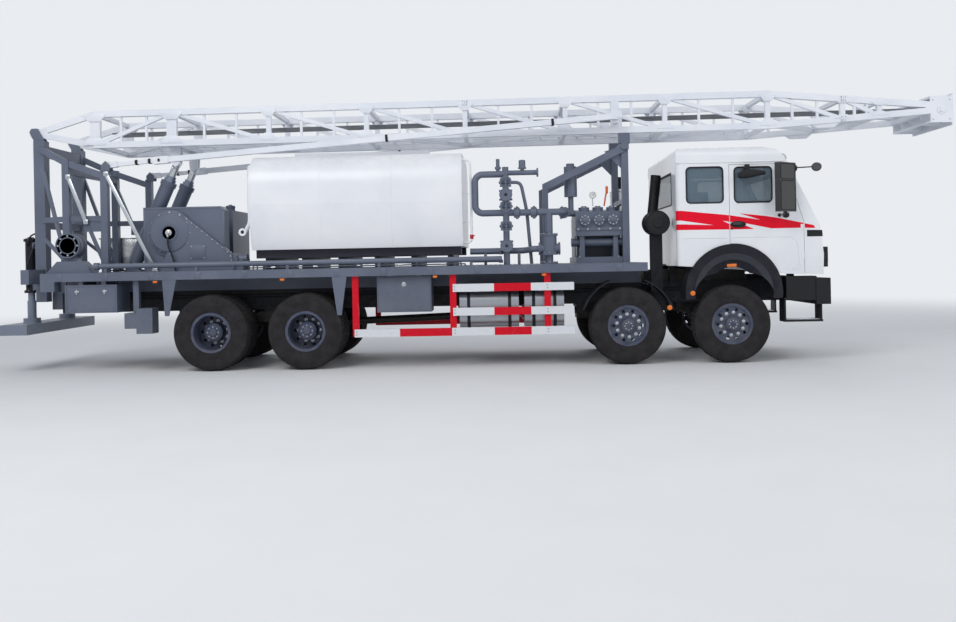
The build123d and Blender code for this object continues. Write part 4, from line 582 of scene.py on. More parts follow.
# Half of the section: distance from the middle line, and radius.
TYRE_SECTION = (
    (0.115, 0.264),
    (0.122, 0.282),
    (0.126, 0.300),
    (0.1355, 0.330),
    (0.1375, 0.345),
    (0.1375, 0.350),
    (0.1435, 0.378),
    (0.1485, 0.406),
    (0.1495, 0.418),
    (0.1482, 0.424),
    (0.1482, 0.431),
    (0.1490, 0.437),
    (0.1465, 0.468),
    (0.1445, 0.484),
    (0.1420, 0.497),
    (0.1330, 0.521),
    (0.1270, 0.5275),
)
# A row of blocks: from, to, and how far its cuts lean.
BLOCK_ROWS = (
    (-0.128, -0.078, 0.016),
    (-0.068, -0.026, -0.012),
    (-0.018, 0.018, 0.010),
    (0.026, 0.068, -0.012),
    (0.078, 0.128, 0.016),
)


def tread_crown(offset):
    """Radius of the tread's surface at a distance from the middle line."""
    return TYRE_RADIUS - 0.0005 - CROWN_DROP * (offset / HALF_TREAD) ** 2


def add_block(stock, centre, start, near, far, skew):
    """One block of the tread, open at its foot, from a place round the tyre."""
    x, y, z = centre
    rings = []
    for radius_drop, shrink in ((-TREAD_DEPTH - 0.002, 0.0), (0.0, BLOCK_CHAMFER)):
        ring = []
        for offset, side in ((near, 0), (far, 0), (far, 1), (near, 1)):
            place = offset + (shrink if offset == near else -shrink)
            lean = skew * (1 if offset == far else -1) / TYRE_RADIUS
            turn = start + lean + side * BLOCK_SHARE * tau / BLOCKS_ROUND
            turn += (shrink / TYRE_RADIUS) * (1 if side == 0 else -1)
            radius = tread_crown(place) + radius_drop
            spot = (x + radius * cos(turn), y + place, z + radius * sin(turn))
            ring.append(stock.mesh.verts.new(spot))
        rings.append(ring)
    stock.mesh.faces.new(rings[1])
    stock.skin(rings, capped=False)


def add_tyre(stock, centre, phase):
    """One carcass and its five rows of blocks."""
    floor = [(offset, tread_crown(offset) - TREAD_DEPTH) for offset in (0.118, 0.06, 0)]
    section = [*TYRE_SECTION, *floor]
    other_side = [(-offset, radius) for offset, radius in reversed(section[:-1])]
    stock.turned([*section, *other_side], centre, "Y", CARCASS_STEPS, capped=False)
    for number in range(BLOCKS_ROUND):
        for row, (near, far, skew) in enumerate(BLOCK_ROWS):
            start = phase + (number + (row % 2) * 0.5) * tau / BLOCKS_ROUND
            add_block(stock, centre, start, near, far, skew)


# An axle: its number, its place along the truck, and whether it steers.
AXLES = ((1, 3.535, True), (2, 2.085, True), (3, -2.465, False), (4, -3.815, False))
WHEEL_Y = 1.07
TWIN_PITCH = 0.33
for number, x, steered in AXLES:
    for name, side in SIDES:
        rubber = Stock()
        add_tyre(rubber, (x, side * WHEEL_Y, TYRE_RADIUS), number * 0.7 + side)
        if not steered:
            inner = (x, side * (WHEEL_Y - TWIN_PITCH), TYRE_RADIUS)
            add_tyre(rubber, inner, number * 0.4 + side)
        bmesh.ops.recalc_face_normals(rubber.mesh, faces=rubber.mesh.faces)
        wheel = f"{number}_{name}"
        body, replaced = f"wheel_{wheel}", [f"tyre_{wheel}"]
        rubber.become(f"treaded_tyre_{wheel}", body, tyre_rubber, "tyre_rubber", replaced)
print("tyres", made_pieces[-1])

# %% [markdown]
# The wheels are pressed steel discs held by ten studs. The nuts and stud ends are what make a
# truck wheel look like one, so each gets a real hexagon with its flange, and the hub gets its
# bolted cap. The rear outer wheels are dished, so their nuts sit deep inside.

# %% Wheel nuts, hub caps and valves
NUTS, NUT_CIRCLE, NUT_SIZE, NUT_HEIGHT = 10, 0.160, 0.0165, 0.026
FRONT_DISC_Y, REAR_DISC_Y = WHEEL_Y + 0.108, WHEEL_Y - TWIN_PITCH / 2 + 0.014
FRONT_HUB_Y, REAR_HUB_Y = WHEEL_Y + 0.168, WHEEL_Y + 0.020
RIM_EDGE_Y = WHEEL_Y + 0.127
FRONT_HUB_RING, REAR_HUB_RING = 0.052, 0.078
# Each profile below is turned: distance outwards, and radius.
NUT_FLANGE = ((0, 0.024), (0.004, 0.024), (0.006, 0.018), (0.006, 0))
NUT = ((0.006, NUT_SIZE), (NUT_HEIGHT - 0.003, NUT_SIZE), (NUT_HEIGHT, 0.013), (NUT_HEIGHT, 0))
STUD = ((0, 0.009), (0.009, 0.009), (0.011, 0.006), (0.011, 0))
RIM_LIP = ((-0.012, 0.2875), (0.0, 0.2885), (0.004, 0.284), (0.0, 0.279), (-0.012, 0.277))
FRONT_CAP = ((0, 0.040), (0.004, 0.040), (0.007, 0.034), (0.0075, 0.014))
FRONT_CAP += ((0.0105, 0.012), (0.0105, 0))
REAR_CAP = ((0, 0.062), (0.016, 0.060), (0.024, 0.050), (0.028, 0.030), (0.028, 0))
for number, x, steered in AXLES:
    for name, side in SIDES:
        out = LEFT * side
        disc = side * (FRONT_DISC_Y if steered else REAR_DISC_Y)
        hub = side * (FRONT_HUB_Y if steered else REAR_HUB_Y)
        fixings = Stock()
        middle = (x, disc, TYRE_RADIUS)
        for place in ring_about(middle, NUT_CIRCLE, NUTS, "Y", 0.2 * number):
            fixings.spun(NUT_FLANGE, place, out, ACROSS, 16)
            fixings.spun(NUT, place, out, ACROSS, 6)
            stud = [(NUT_HEIGHT + at, radius) for at, radius in STUD]
            fixings.spun(stud, place, out, ACROSS, 10)
        hub_ring = FRONT_HUB_RING if steered else REAR_HUB_RING
        fixings.bolts(ring_about((x, hub, TYRE_RADIUS), hub_ring, 8), out, 0.008, 0.007)
        fixings.become(f"wheel_nuts_{number}_{name}", f"wheel_{number}_{name}", zinc)
        trim = Stock()
        lip = [(side * at, radius) for at, radius in RIM_LIP]
        trim.turned(lip, (x, side * RIM_EDGE_Y, TYRE_RADIUS), steps=64, capped=False)
        cap = [(side * at, radius) for at, radius in (FRONT_CAP if steered else REAR_CAP)]
        trim.turned(cap, (x, hub, TYRE_RADIUS))
        valve = ((0.19, 0, 0.10), (0.205, 0.035, 0.11), (0.22, 0.06, 0.118))
        valve = [(x + along, disc + side * far, TYRE_RADIUS + up) for along, far, up in valve]
        trim.pipe(valve, 0.006, 8)
        body = f"wheel_{number}_{name}"
        trim.become(f"hub_trim_{number}_{name}", body, wheel_enamel, "wheel_enamel")
print("wheel fixings on", len(AXLES) * 2, "wheels")

# %% [markdown]
# The windows are held in black rubber seals that stand proud of the panel. A seal is one closed
# extrusion, so each is a thin pipe led round the window's rounded corners. The windscreen lies in
# a sloping plane, so its points are worked out along that slope first.

# %% Window seals
CAB_SIDE_Y = 1.220
# A side window: rear, sill, front and head.
QUARTER_WINDOW = (2.925, 2.240, 3.435, 2.740)
DOOR_WINDOW = (3.590, 2.240, 4.110, 2.730)
REAR_WINDOW_X, REAR_WINDOW_HALF, REAR_WINDOW_SILL, REAR_WINDOW_HEAD = 2.789, 0.85, 2.24, 2.7
SCREEN_LOW, SCREEN_HIGH = Vector((4.765, 0, 1.900)), Vector((4.330, 0, 2.800))
SCREEN_HALF_WIDTH, SCREEN_HALF_HEIGHT = 1.060, 0.350
SEAL_RADIUS, SCREEN_SEAL_RADIUS, REAR_SEAL_RADIUS = 0.011, 0.015, 0.012
SEAL_STEPS, SEAL_BEND = 10, 6


def loop_points(corners):
    """A closed run that starts and ends in the middle of its first side."""
    middle = (Vector(corners[0]) + Vector(corners[1])) / 2
    return [middle, *corners[1:], corners[0], middle]


def window_corners(window, y):
    """The four corners of an upright window in a side of the cab."""
    x_low, z_low, x_high, z_high = window
    return [(x_low, y, z_low), (x_high, y, z_low), (x_high, y, z_high), (x_low, y, z_high)]


screen_up = (SCREEN_HIGH - SCREEN_LOW).normalized()
screen_out = Vector((screen_up.z, 0, -screen_up.x))
screen_middle = (SCREEN_LOW + SCREEN_HIGH) / 2


def on_screen(across, up, proud=0.0):
    """A point on the windscreen's plane, measured from its middle."""
    return screen_middle + LEFT * across + screen_up * up + screen_out * proud


ROUND_THE_PANE = ((-1, -1), (1, -1), (1, 1), (-1, 1))
fixed_seals = Stock()
for _, side in SIDES:
    corners = window_corners(QUARTER_WINDOW, side * (CAB_SIDE_Y - 0.004))
    fixed_seals.pipe(loop_points(corners), SEAL_RADIUS, SEAL_STEPS, SEAL_BEND)
corners = [on_screen(y * SCREEN_HALF_WIDTH, z * SCREEN_HALF_HEIGHT) for y, z in ROUND_THE_PANE]
fixed_seals.pipe(loop_points(corners), SCREEN_SEAL_RADIUS, SEAL_STEPS, SEAL_BEND)
heights = {-1: REAR_WINDOW_SILL, 1: REAR_WINDOW_HEAD}
corners = [(REAR_WINDOW_X, y * REAR_WINDOW_HALF, heights[z]) for y, z in ROUND_THE_PANE]
fixed_seals.pipe(loop_points(corners), REAR_SEAL_RADIUS, SEAL_STEPS, 5)
fixed_seals.become("cab_window_seals", "root", seal_rubber)
for name, side in SIDES:
    door_seal = Stock()
    corners = window_corners(DOOR_WINDOW, side * (CAB_SIDE_Y - 0.004))
    door_seal.pipe(loop_points(corners), SEAL_RADIUS, SEAL_STEPS, SEAL_BEND)
    scraper_y, scraper_z = side * (CAB_SIDE_Y + 0.002), DOOR_WINDOW[1] - 0.004
    rear_end = (DOOR_WINDOW[0] + 0.03, scraper_y, scraper_z)
    door_seal.bar(rear_end, (DOOR_WINDOW[2] - 0.03, scraper_y, scraper_z), 0.012, 0.016)
    door_seal.become(f"door_window_seal_{name}", f"door_{name}", seal_rubber)
print("windscreen slope", round(screen_up.z, 3))

# %% [markdown]
# The red wedges are cut from vinyl film. They cross from the cab's rear panel onto the door, so
# each part of a wedge is its own thin sheet riding on the panel that it is stuck to, and the cut
# at the door gap stays clean when the door swings open.

# %% Red wedges
FILM = 0.0012
CORNER_RADIUS = 0.060
CORNER_X = 2.785 + CORNER_RADIUS
CORNER_STEPS = 8
# Outlines on the cab's side: along the truck, and height.
REAR_WEDGE = (
    (CORNER_X, 2.138),
    (3.510, 2.064),
    (3.510, 1.973),
    (3.419, 1.987),
    (3.510, 1.944),
    (3.510, 1.865),
    (CORNER_X, 1.869),
    (CORNER_X, 1.949),
    (3.298, 1.929),
    (CORNER_X, 2.001),
)
DOOR_WEDGE = (
    (3.523, 2.062),
    (3.943, 1.991),
    (3.651, 2.087),
    (4.016, 2.042),
    (4.190, 2.011),
    (4.538, 1.935),
    (4.538, 1.868),
    (4.092, 1.868),
    (3.736, 1.946),
    (3.523, 1.969),
)
LOWER_WEDGE = ((3.523, 1.940), (3.743, 1.913), (3.853, 1.865), (3.523, 1.864))
FRONT_WEDGE = ((4.552, 1.930), (4.678, 1.902), (4.697, 1.862), (4.552, 1.867))


def wrap_corner(stock, side, top, bottom):
    """Film bent round the cab's rear corner, between two heights."""
    reach = CORNER_RADIUS + FILM
    rows = []
    for at in range(CORNER_STEPS + 1):
        turn = radians(90 * at / CORNER_STEPS)
        x = CORNER_X - reach * sin(turn)
        y = side * (CAB_SIDE_Y - CORNER_RADIUS) + side * reach * cos(turn)
        rows.append([stock.mesh.verts.new((x, y, z)) for z in (top, bottom)])
    for here, there in zip(rows, rows[1:]):
        stock.mesh.faces.new((here[0], there[0], there[1], here[1]))


stripes = Stock()
for _, side in SIDES:
    for outline in (REAR_WEDGE, FRONT_WEDGE):
        stripes.plate(outline, side * CAB_SIDE_Y, side * (CAB_SIDE_Y + FILM))
    wrap_corner(stripes, side, REAR_WEDGE[0][1], REAR_WEDGE[-1][1])
    wrap_corner(stripes, side, REAR_WEDGE[7][1], REAR_WEDGE[6][1])
stripes.become("cab_red_wedges", "root", stripe_film)
for name, side in SIDES:
    stripes = Stock()
    for outline in (DOOR_WEDGE, LOWER_WEDGE):
        stripes.plate(outline, side * CAB_SIDE_Y, side * (CAB_SIDE_Y + FILM))
    stripes.become(f"door_red_wedge_{name}", f"door_{name}", stripe_film)
print("wedges on both sides")

# %% [markdown]
# Pressed lines stiffen a thin door skin: a swage below the handle that turns down at the front,
# and a fold along the sill. On the real door they are millimetres deep, so low rounded ribs in the
# same enamel give the same line of light and shade. The handle sits in a black plastic recess.

# %% Door pressings, handles and drip rails
SWAGE_Z, SILL_Z, FOLD_Z = 1.752, 1.300, 1.44
HANDLE_PLACE, RECESS_HALF, RECESS_STEPS = (3.634, 1.935), (0.109, 0.046), 20
DRIP_RAIL_Z = 2.803
for name, side in SIDES:
    face = side * (CAB_SIDE_Y + 0.0005)
    pressing = Stock()
    swage = ((3.56, SWAGE_Z), (4.371, SWAGE_Z), (4.455, 1.66), (4.470, 1.34))
    pressing.pipe([(x, face, z) for x, z in swage], 0.007, 8, 12)
    pressing.pipe([(4.25, face, SILL_Z), (4.50, face, SILL_Z - 0.004)], 0.006, 8)
    pressing.become(f"door_pressing_{name}", f"door_{name}", cab_enamel, "cab_white")
    recess = Stock()
    turns = [tau * at / RECESS_STEPS for at in range(RECESS_STEPS)]
    (x, z), (long, high) = HANDLE_PLACE, RECESS_HALF
    oval = [(x + long * cos(turn), z + high * sin(turn)) for turn in turns]
    recess.plate(oval, face, face + side * 0.006, 0.002)
    grip_y = face + side * 0.028
    recess.bar((3.552, grip_y, 1.905), (3.720, grip_y, 1.905), 0.012, 0.02)
    recess.block((3.536, face, 1.86), (3.56, face + side * 0.004, 1.884))
    recess.become(f"door_handle_recess_{name}", f"door_{name}", black_moulding)
rails = Stock()
for _, side in SIDES:
    gutter, skin = side * (CAB_SIDE_Y + 0.004), side * (CAB_SIDE_Y + 0.001)
    rails.pipe([(2.80, gutter, DRIP_RAIL_Z), (4.27, gutter, DRIP_RAIL_Z)], 0.009, 8)
    rails.pipe([(2.87, skin, SWAGE_Z), (3.49, skin, SWAGE_Z)], 0.007, 8)
    rails.pipe([(2.87, skin, FOLD_Z), (2.93, skin, FOLD_Z)], 0.005, 8)
rails.pipe([(4.33, -1.16, DRIP_RAIL_Z + 0.004), (4.33, 1.16, DRIP_RAIL_Z + 0.004)], 0.010, 8)
rails.become("cab_drip_rails", "root", cab_enamel, "cab_white")
nose_band = Stock()
for _, side in SIDES:
    face = side * (CAB_SIDE_Y + 0.0005)
    side_band = [(4.582, 1.745), (4.798, 1.745), (4.792, 1.832), (4.582, 1.836)]
    nose_band.plate(side_band, face, face + side * 0.003)
nose_band.block((4.800, -1.150, 1.765), (4.806, 1.150, 1.832), 0.002)
nose_band.become("black_band_under_screen", "root", black_moulding)
print("door lines at", SWAGE_Z, SILL_Z)

# %% [markdown]
# Mirrors, wipers, lamps and reflectors are bought-in mouldings. Their shells are black
# polypropylene; the glass in a mirror is silvered, and the lamps are a bright reflector behind a
# clear lens, which is why a headlamp looks deep even when it is off.

# %% Mirrors
MIRROR_X, MIRROR_Y = 4.235, 1.425
MIRROR_TURN = radians(35)
MIRROR_HALF_WIDTH, MIRROR_HALF_DEPTH, RIM_INSET = 0.165, 0.045, 0.014
MIRROR_LOW, MIRROR_SPLIT, MIRROR_HIGH, SPLIT_HALF = 2.110, 2.520, 2.740, 0.012
FRONT_MIRROR = Vector((4.704, -1.300, 2.706))
FRONT_MIRROR_WAY, FRONT_MIRROR_ACROSS = Vector((0.35, 0.85, -0.39)), Vector((0.925, -0.38, 0))
CORNER_LAMP = Vector((4.265, -1.095, 2.840))
CORNER_LAMP_WAY, CORNER_LAMP_ACROSS = Vector((0.80, -0.35, 0.49)), Vector((0.40, 0.917, 0))
# The kerb mirror's shell and its stem from the side: along the truck, and height.
KERB_SHELL = (
    (3.62, 2.580),
    (3.66, 2.566),
    (3.74, 2.566),
    (3.90, 2.598),
    (3.985, 2.612),
    (3.995, 2.635),
    (3.975, 2.655),
    (3.88, 2.678),
    (3.77, 2.690),
    (3.66, 2.668),
    (3.62, 2.635),
)
KERB_STEM = ((3.715, 2.675), (3.80, 2.675), (3.785, 2.762), (3.735, 2.762))
KNOB = ((0, 0.014), (-0.012, 0.016), (-0.020, 0.040), (-0.050, 0.046), (-0.078, 0.036), (-0.090, 0))
LOBE = (
    (-0.05, 0.0),
    (-0.046, 0.030),
    (-0.030, 0.052),
    (0, 0.062),
    (0.030, 0.052),
    (0.046, 0.030),
    (0.05, 0),
)


def on_mirror(side, across, out, z):
    """A place on a mirror head: across its face, out of its back, and in height."""
    along = Vector((cos(MIRROR_TURN), -side * sin(MIRROR_TURN), 0))
    outward = Vector((sin(MIRROR_TURN), side * cos(MIRROR_TURN), 0))
    return Vector((MIRROR_X, side * MIRROR_Y, z)) + along * across + outward * out


def pane_corners(half, low, high):
    """The corners of a mirror pane: across, and height."""
    return [(-half, low), (half, low), (half, high), (-half, high)]


panes = ((MIRROR_LOW, MIRROR_SPLIT - SPLIT_HALF), (MIRROR_SPLIT + SPLIT_HALF, MIRROR_HIGH))
reach = MIRROR_HALF_WIDTH - RIM_INSET
for name, side in SIDES:
    shell = Stock()
    for low, high in panes:
        for out in (-MIRROR_HALF_DEPTH, MIRROR_HALF_DEPTH):
            rim = [on_mirror(side, at, out, z) for at, z in pane_corners(reach, low, high)]
            shell.pipe(loop_points(rim), 0.006, 8, 5)
    shell.spun(KNOB, (MIRROR_X, side * MIRROR_Y, 2.090), UP, ACROSS, 24)
    for z in (2.050, 2.720):
        shell.rod((4.205, side * 1.2205, z), (4.205, side * 1.258, z), 0.024)
    shell.spun(LOBE, on_mirror(side, MIRROR_HALF_WIDTH, 0, 2.690), LEFT, ACROSS, 24)
    shell.become(f"mirror_rims_{name}", f"door_{name}", black_moulding)
    silver = Stock()
    for low, high in panes:
        face = pane_corners(reach - 0.008, low + 0.008, high - 0.008)
        out = -MIRROR_HALF_DEPTH - 0.002
        corners = [silver.mesh.verts.new(on_mirror(side, at, out, z)) for at, z in face]
        silver.mesh.faces.new(corners)
    silver.become(f"mirror_silver_{name}", f"door_{name}", mirror_silver)
kerb = Stock()
kerb.plate(KERB_SHELL, -1.265, -1.385, 0.018)
kerb.plate(KERB_STEM, -1.2215, -1.30, 0.006)
kerb.become("kerb_mirror", "door_right", black_moulding)
arm = Stock()
arm.pipe([(4.335, -1.205, 2.745), (4.44, -1.285, 2.700), (4.64, -1.300, 2.706)], 0.009, 10)
arm.become("front_mirror_arm", "root", black_moulding)
head = Stock()
disc = [(-0.022, 0), (-0.020, 0.030), (-0.012, 0.058), (0.0, 0.068), (0.010, 0.066)]
disc += [(0.013, 0.060), (0.013, 0)]
head.spun(disc, FRONT_MIRROR, FRONT_MIRROR_WAY, FRONT_MIRROR_ACROSS)
head.become("front_mirror_head", "root", grey_trim)
corner_lamp = Stock()
dome = [(0, 0.062), (0.020, 0.070), (0.050, 0.066), (0.078, 0.046), (0.090, 0.020), (0.092, 0)]
corner_lamp.spun(dome, CORNER_LAMP, CORNER_LAMP_WAY, CORNER_LAMP_ACROSS)
corner_lamp.become("roof_corner_lamp", "root", stainless)
print("mirror heads turned", round(MIRROR_TURN, 2))

# %% [markdown]
# Three wipers stand on the screen's lower edge, each an arm with a knee and a blade. A headlamp
# is a shallow bowl with its lens just in front, and the turn signals are thin amber blocks.

# %% Wipers and lamps
WIPER_PLACES = (-0.62, 0.0, 0.62)
NOSE_X, LAMP_Z, LAMP_STEPS = 4.870, 1.470, 24
LAMP_PLACES = (0.920, 1.080)
BOWL = ((-0.004, 0.066), (0.0, 0.068), (0.002, 0.060), (-0.002, 0.045), (-0.003, 0))
LENS_DOME = ((0.002, 0.062), (0.006, 0.050), (0.009, 0.025), (0.0095, 0))
wipers = Stock()
for middle in WIPER_PLACES:
    foot = on_screen(middle - 0.12, -SCREEN_HALF_HEIGHT - 0.05, 0.03)
    knee = on_screen(middle + 0.02, -SCREEN_HALF_HEIGHT + 0.22, 0.035)
    tip = on_screen(middle + 0.10, -SCREEN_HALF_HEIGHT + 0.34, 0.022)
    wipers.rod(foot - screen_out * 0.035, foot + screen_out * 0.01, 0.018, 14)
    wipers.pipe([foot, knee, tip], 0.007, 8)
    blade_low = on_screen(middle - 0.16, -SCREEN_HALF_HEIGHT + 0.25, 0.012)
    blade_high = on_screen(middle + 0.34, -SCREEN_HALF_HEIGHT + 0.40, 0.012)
    wipers.bar(blade_low, blade_high, 0.008, 0.014, screen_out)
wipers.become("windscreen_wipers", "root", black_moulding)
lamps, lenses, signals = Stock(), Stock(), Stock()
for _, side in SIDES:
    for y in LAMP_PLACES:
        lamps.turned(BOWL, (NOSE_X, side * y, LAMP_Z), "X", LAMP_STEPS)
        lenses.turned(LENS_DOME, (NOSE_X, side * y, LAMP_Z), "X", LAMP_STEPS)
    back = NOSE_X - 0.001
    signals.block((back, side * 0.84, 1.335), (NOSE_X + 0.006, side * 1.16, 1.385), 0.003)
    signals.block((back, side * 1.165, 1.40), (NOSE_X + 0.005, side * 1.195, 1.58), 0.003)
lamps.become("headlamp_bowls", "root", stainless)
lenses.become("headlamp_lenses", "root", lamp_lens)
signals.become("front_turn_signals", "root", beacon_amber)
print("lamps made")

# %% [markdown]
# Around the front wheel runs a black flare. Inside it hangs a rubber skirt, whose lighter grey is
# a painted highlight along its ridge, and, over the top of the wheel only, a black shield. Both
# are rings made of short flat segments that lean inwards and run out to nothing at their ends, so
# the tyre keeps its room when it steers.

# %% Arch skirts, steps and reflectors
ARCH_X, ARCH_Z, ARCH_STEPS = 3.560, 0.990, 40
SKIRT_THICKNESS = 0.006
RUN_OUT = 0.16
# Rings as radius and distance out, at the flare, the skirt's edge and the shield's edge.
FLARE_EDGE, SKIRT_EDGE, SHIELD_EDGE = (0.552, 1.2395), (0.455, 1.195), (0.350, 1.160)


def arch_ring(stock, side, outer, inner, start, end):
    """A ring round the arch from one (radius, distance out) to another, between two angles."""
    rows = []
    for at in range(ARCH_STEPS + 1):
        share = at / ARCH_STEPS
        turn = radians(start + (end - start) * share)
        full = min(1, (0.01 + min(share, 1 - share)) / RUN_OUT)
        lip = tuple(root + (edge - root) * full for root, edge in zip(outer, inner))
        row = []
        for (radius, reach), depth in zip((outer, lip, lip, outer), (0, 0, 1, 1)):
            x, z = ARCH_X + radius * cos(turn), ARCH_Z + radius * sin(turn)
            place = (x, side * (reach - depth * SKIRT_THICKNESS), z)
            row.append(stock.mesh.verts.new(place))
        rows.append(row)
    stock.skin(rows)


highlighted_skirts, shields = Stock(), Stock()
for _, side in SIDES:
    arch_ring(highlighted_skirts, side, FLARE_EDGE, SKIRT_EDGE, 2, 178)
    arch_ring(shields, side, SKIRT_EDGE, SHIELD_EDGE, 29, 151)
# The skirts' lighter grey is a painted highlight along their ridge.
highlighted_skirts.become("arch_skirts_painted_highlight", "root", lip_rubber_with_painted_highlight)
shields.become("arch_shields", "root", chassis_paint, "chassis_black")
DECK_REFLECTORS_X, DECK_REFLECTORS_Z = (-4.576, -2.769, -0.610, 0.917), 1.285
reflectors = Stock()
for _, side in SIDES:
    reflectors.block((3.479, side * 1.160, 1.342), (3.613, side * 1.176, 1.386), 0.003)
    for x in DECK_REFLECTORS_X:
        low = (x - 0.03, side * 1.2495, DECK_REFLECTORS_Z - 0.015)
        reflectors.block(low, (x + 0.03, side * 1.252, DECK_REFLECTORS_Z + 0.015), 0.003)
for place in ((2.983, -1.2415, 0.985), (2.662, -1.2260, 0.790)):
    reflectors.turned([(0.006, 0.035), (-0.006, 0.034), (-0.010, 0.024), (-0.011, 0)], place)
reflectors.become("side_reflectors", "root", beacon_amber)
# A step: its height, and how far forward it reaches.
STEPS, STEP_REAR_X, STEP_BARS = ((0.592, 4.76), (0.892, 4.69)), 4.29, 7
treads = Stock()
for _, side in SIDES:
    for z, front_x in STEPS:
        for at in range(STEP_BARS):
            y = side * (0.975 + at * 0.034)
            treads.bar((STEP_REAR_X, y, z), (front_x, y, z), 0.010, 0.008, edge=0.002)
treads.become("cab_step_treads", "root", zinc)
print("arch rings and steps made")

# %% [markdown]
# The mast is welded from square tube. What the plain bars lack is how they meet: gusset plates
# at the knots, the bolted flanges where two lengths join, and the roller on top. A gusset is a
# small plate with its corner cut away, laid on the outside of the chord.

# %% Mast gussets, flanges and roller
MAST_HALF_WIDTH = 0.600
CHORD = 0.090
MAST_POSTS = (-5.668, -4.521, -3.076, -1.625, -0.170, 1.300, 2.753, 4.243, 5.326, 5.855)
WIDE_POSTS = MAST_POSTS[:2]
ROLLER_X, ROLLER_Y = 4.243, 0.47
# Where two lengths of the mast are bolted together.
FLANGE_PLACES = (-0.170, 5.326)
# The chords' outer faces: along the mast, top and bottom.
CHORD_ROWS = ((-5.690, 3.825, 3.275), (4.243, 3.890, 3.337), (6.580, 3.677, 3.501))
GUSSET_PLATE, FLANGE_PLATE, FLANGE_HALF = 0.008, 0.022, 0.043


def chord_z(x, top):
    """Height of a chord's middle line at a place along the mast."""
    for (x1, top1, low1), (x2, top2, low2) in zip(CHORD_ROWS, CHORD_ROWS[1:]):
        if x <= x2:
            share = (x - x1) / (x2 - x1)
            if top:
                return top1 + share * (top2 - top1) - CHORD / 2
            return low1 + share * (low2 - low1) + CHORD / 2
    return None


gussets, flange_bolts, rollers = Stock(), Stock(), Stock()
for _, side in SIDES:
    near = side * (MAST_HALF_WIDTH + CHORD / 2)
    for x in MAST_POSTS:
        reach = 0.11 if x < 5 else 0.06
        foot, head = (0.17, 0.09) if x in WIDE_POSTS else (0.12, 0.055)
        for top, way in ((True, -1), (False, 1)):
            z = chord_z(x, top)
            outline = [(x - foot, z), (x + foot, z), (x + foot, z + way * 0.02)]
            outline += [(x + head, z + way * reach), (x - head, z + way * reach)]
            outline += [(x - foot, z + way * 0.02)]
            gussets.plate(outline, near, near + side * GUSSET_PLATE, 0.001)
    for x in FLANGE_PLACES:
        for z in (chord_z(x, True), chord_z(x, False)):
            for at in (-0.014, 0.014):
                low = (x + at - FLANGE_PLATE / 2, side * 0.535, z - FLANGE_HALF)
                gussets.block(low, (x + at + FLANGE_PLATE / 2, side * 0.665, z + FLANGE_HALF))
            for end in (-1, 1):
                places = [(x + end * 0.025, side * 0.660, z + lift) for lift in (-0.026, 0.026)]
                flange_bolts.bolts(places, ACROSS * end, 0.009, 0.008)
for _, side in SIDES:
    shoe = [(x, chord_z(x, False) - CHORD / 2 + 0.002) for x in (5.29, 4.86)]
    shoe += [(4.95, 3.330), (5.20, 3.335)]
    gussets.plate(shoe, side * 0.575, side * 0.625, 0.002)
gussets.become("mast_gussets", "mast", mast_paint, "mast_white")
flange_bolts.become("mast_flange_bolts", "mast", zinc)
ROLLER = ((-0.05, 0.0285), (-0.05, 0.0589), (-0.04, 0.0665))
ROLLER += tuple((-at, radius) for at, radius in reversed(ROLLER))
for _, side in SIDES:
    y, z = side * ROLLER_Y, chord_z(ROLLER_X, True) - 0.026
    rollers.turned(ROLLER, (ROLLER_X, y, z))
    for flank in (y - 0.07, y + 0.07):
        low = (ROLLER_X - 0.035, flank - 0.008, z - 0.030)
        rollers.block(low, (ROLLER_X + 0.035, flank + 0.008, z + 0.040))
rollers.become("mast_rollers", "mast", mast_paint, "mast_white")
print("mast posts", len(MAST_POSTS))

# %% [markdown]
# Inside the mast run the hoist ropes, from the drum at the rear to the sheaves at the crown, with
# a ladder beside them. Drawn ropes are thin, so they are pipes of the rope's true 22 mm, and the
# lay of the strands is left to the bump of their metal.

# %% Ropes, ladder and crown fittings
ROPE_RADIUS = 0.011
ropes = Stock()
for y in (-0.18, -0.06, 0.06, 0.18):
    ropes.pipe([(-5.60, y, 3.55), (0.0, y, 3.60), (6.60, y, 3.645)], ROPE_RADIUS, 8)
ropes.become("mast_hoist_ropes", "mast", wire_rope)
CROSS_TOP, STILE_HIGH = 0.030, 0.045
LADDER_START, LADDER_END, LADDER_SIDES = -5.50, 4.10, (0.26, 0.56)
RUNGS, FIRST_RUNG, RUNG_PITCH = 33, 0.10, 0.29
ladder = Stock()
low_z, high_z = (
    chord_z(x, False) + CROSS_TOP + STILE_HIGH / 2 for x in (LADDER_START, LADDER_END)
)
for y in LADDER_SIDES:
    ladder.bar((LADDER_START, y, low_z), (LADDER_END, y, high_z), 0.020, STILE_HIGH)
for at in range(RUNGS):
    along = FIRST_RUNG + at * RUNG_PITCH
    z = low_z + along / (LADDER_END - LADDER_START) * (high_z - low_z)
    ends = [(LADDER_START + along, y, z) for y in LADDER_SIDES]
    ladder.rod(*ends, 0.010, 8)
ladder.become("mast_ladder", "mast", mast_paint, "mast_white")
CROWN_FACE_Y, CROWN_PIN = 0.645, (6.745, 3.56)
PIN_COVER = ((0, 0.075), (0.012, 0.072), (0.014, 0.045), (0.03, 0.042), (0.032, 0))
crown, crown_bolts = Stock(), Stock()
for _, side in SIDES:
    y = side * CROWN_FACE_Y
    cover = [(side * at, radius) for at, radius in PIN_COVER]
    crown.turned(cover, (CROWN_PIN[0], y, CROWN_PIN[1]))
    for x, z in ((6.62, 3.70), (6.86, 3.70), (6.62, 3.42), (6.86, 3.42)):
        crown_bolts.bolts([(x, y, z)], LEFT * side, 0.012, 0.010)
crown.block((6.62, -0.60, 3.752), (6.86, 0.60, 3.762))
crown.become("crown_fittings", "mast", mast_paint, "mast_white")
crown_bolts.become("crown_bolts", "mast", zinc)
print("ropes and ladder made")

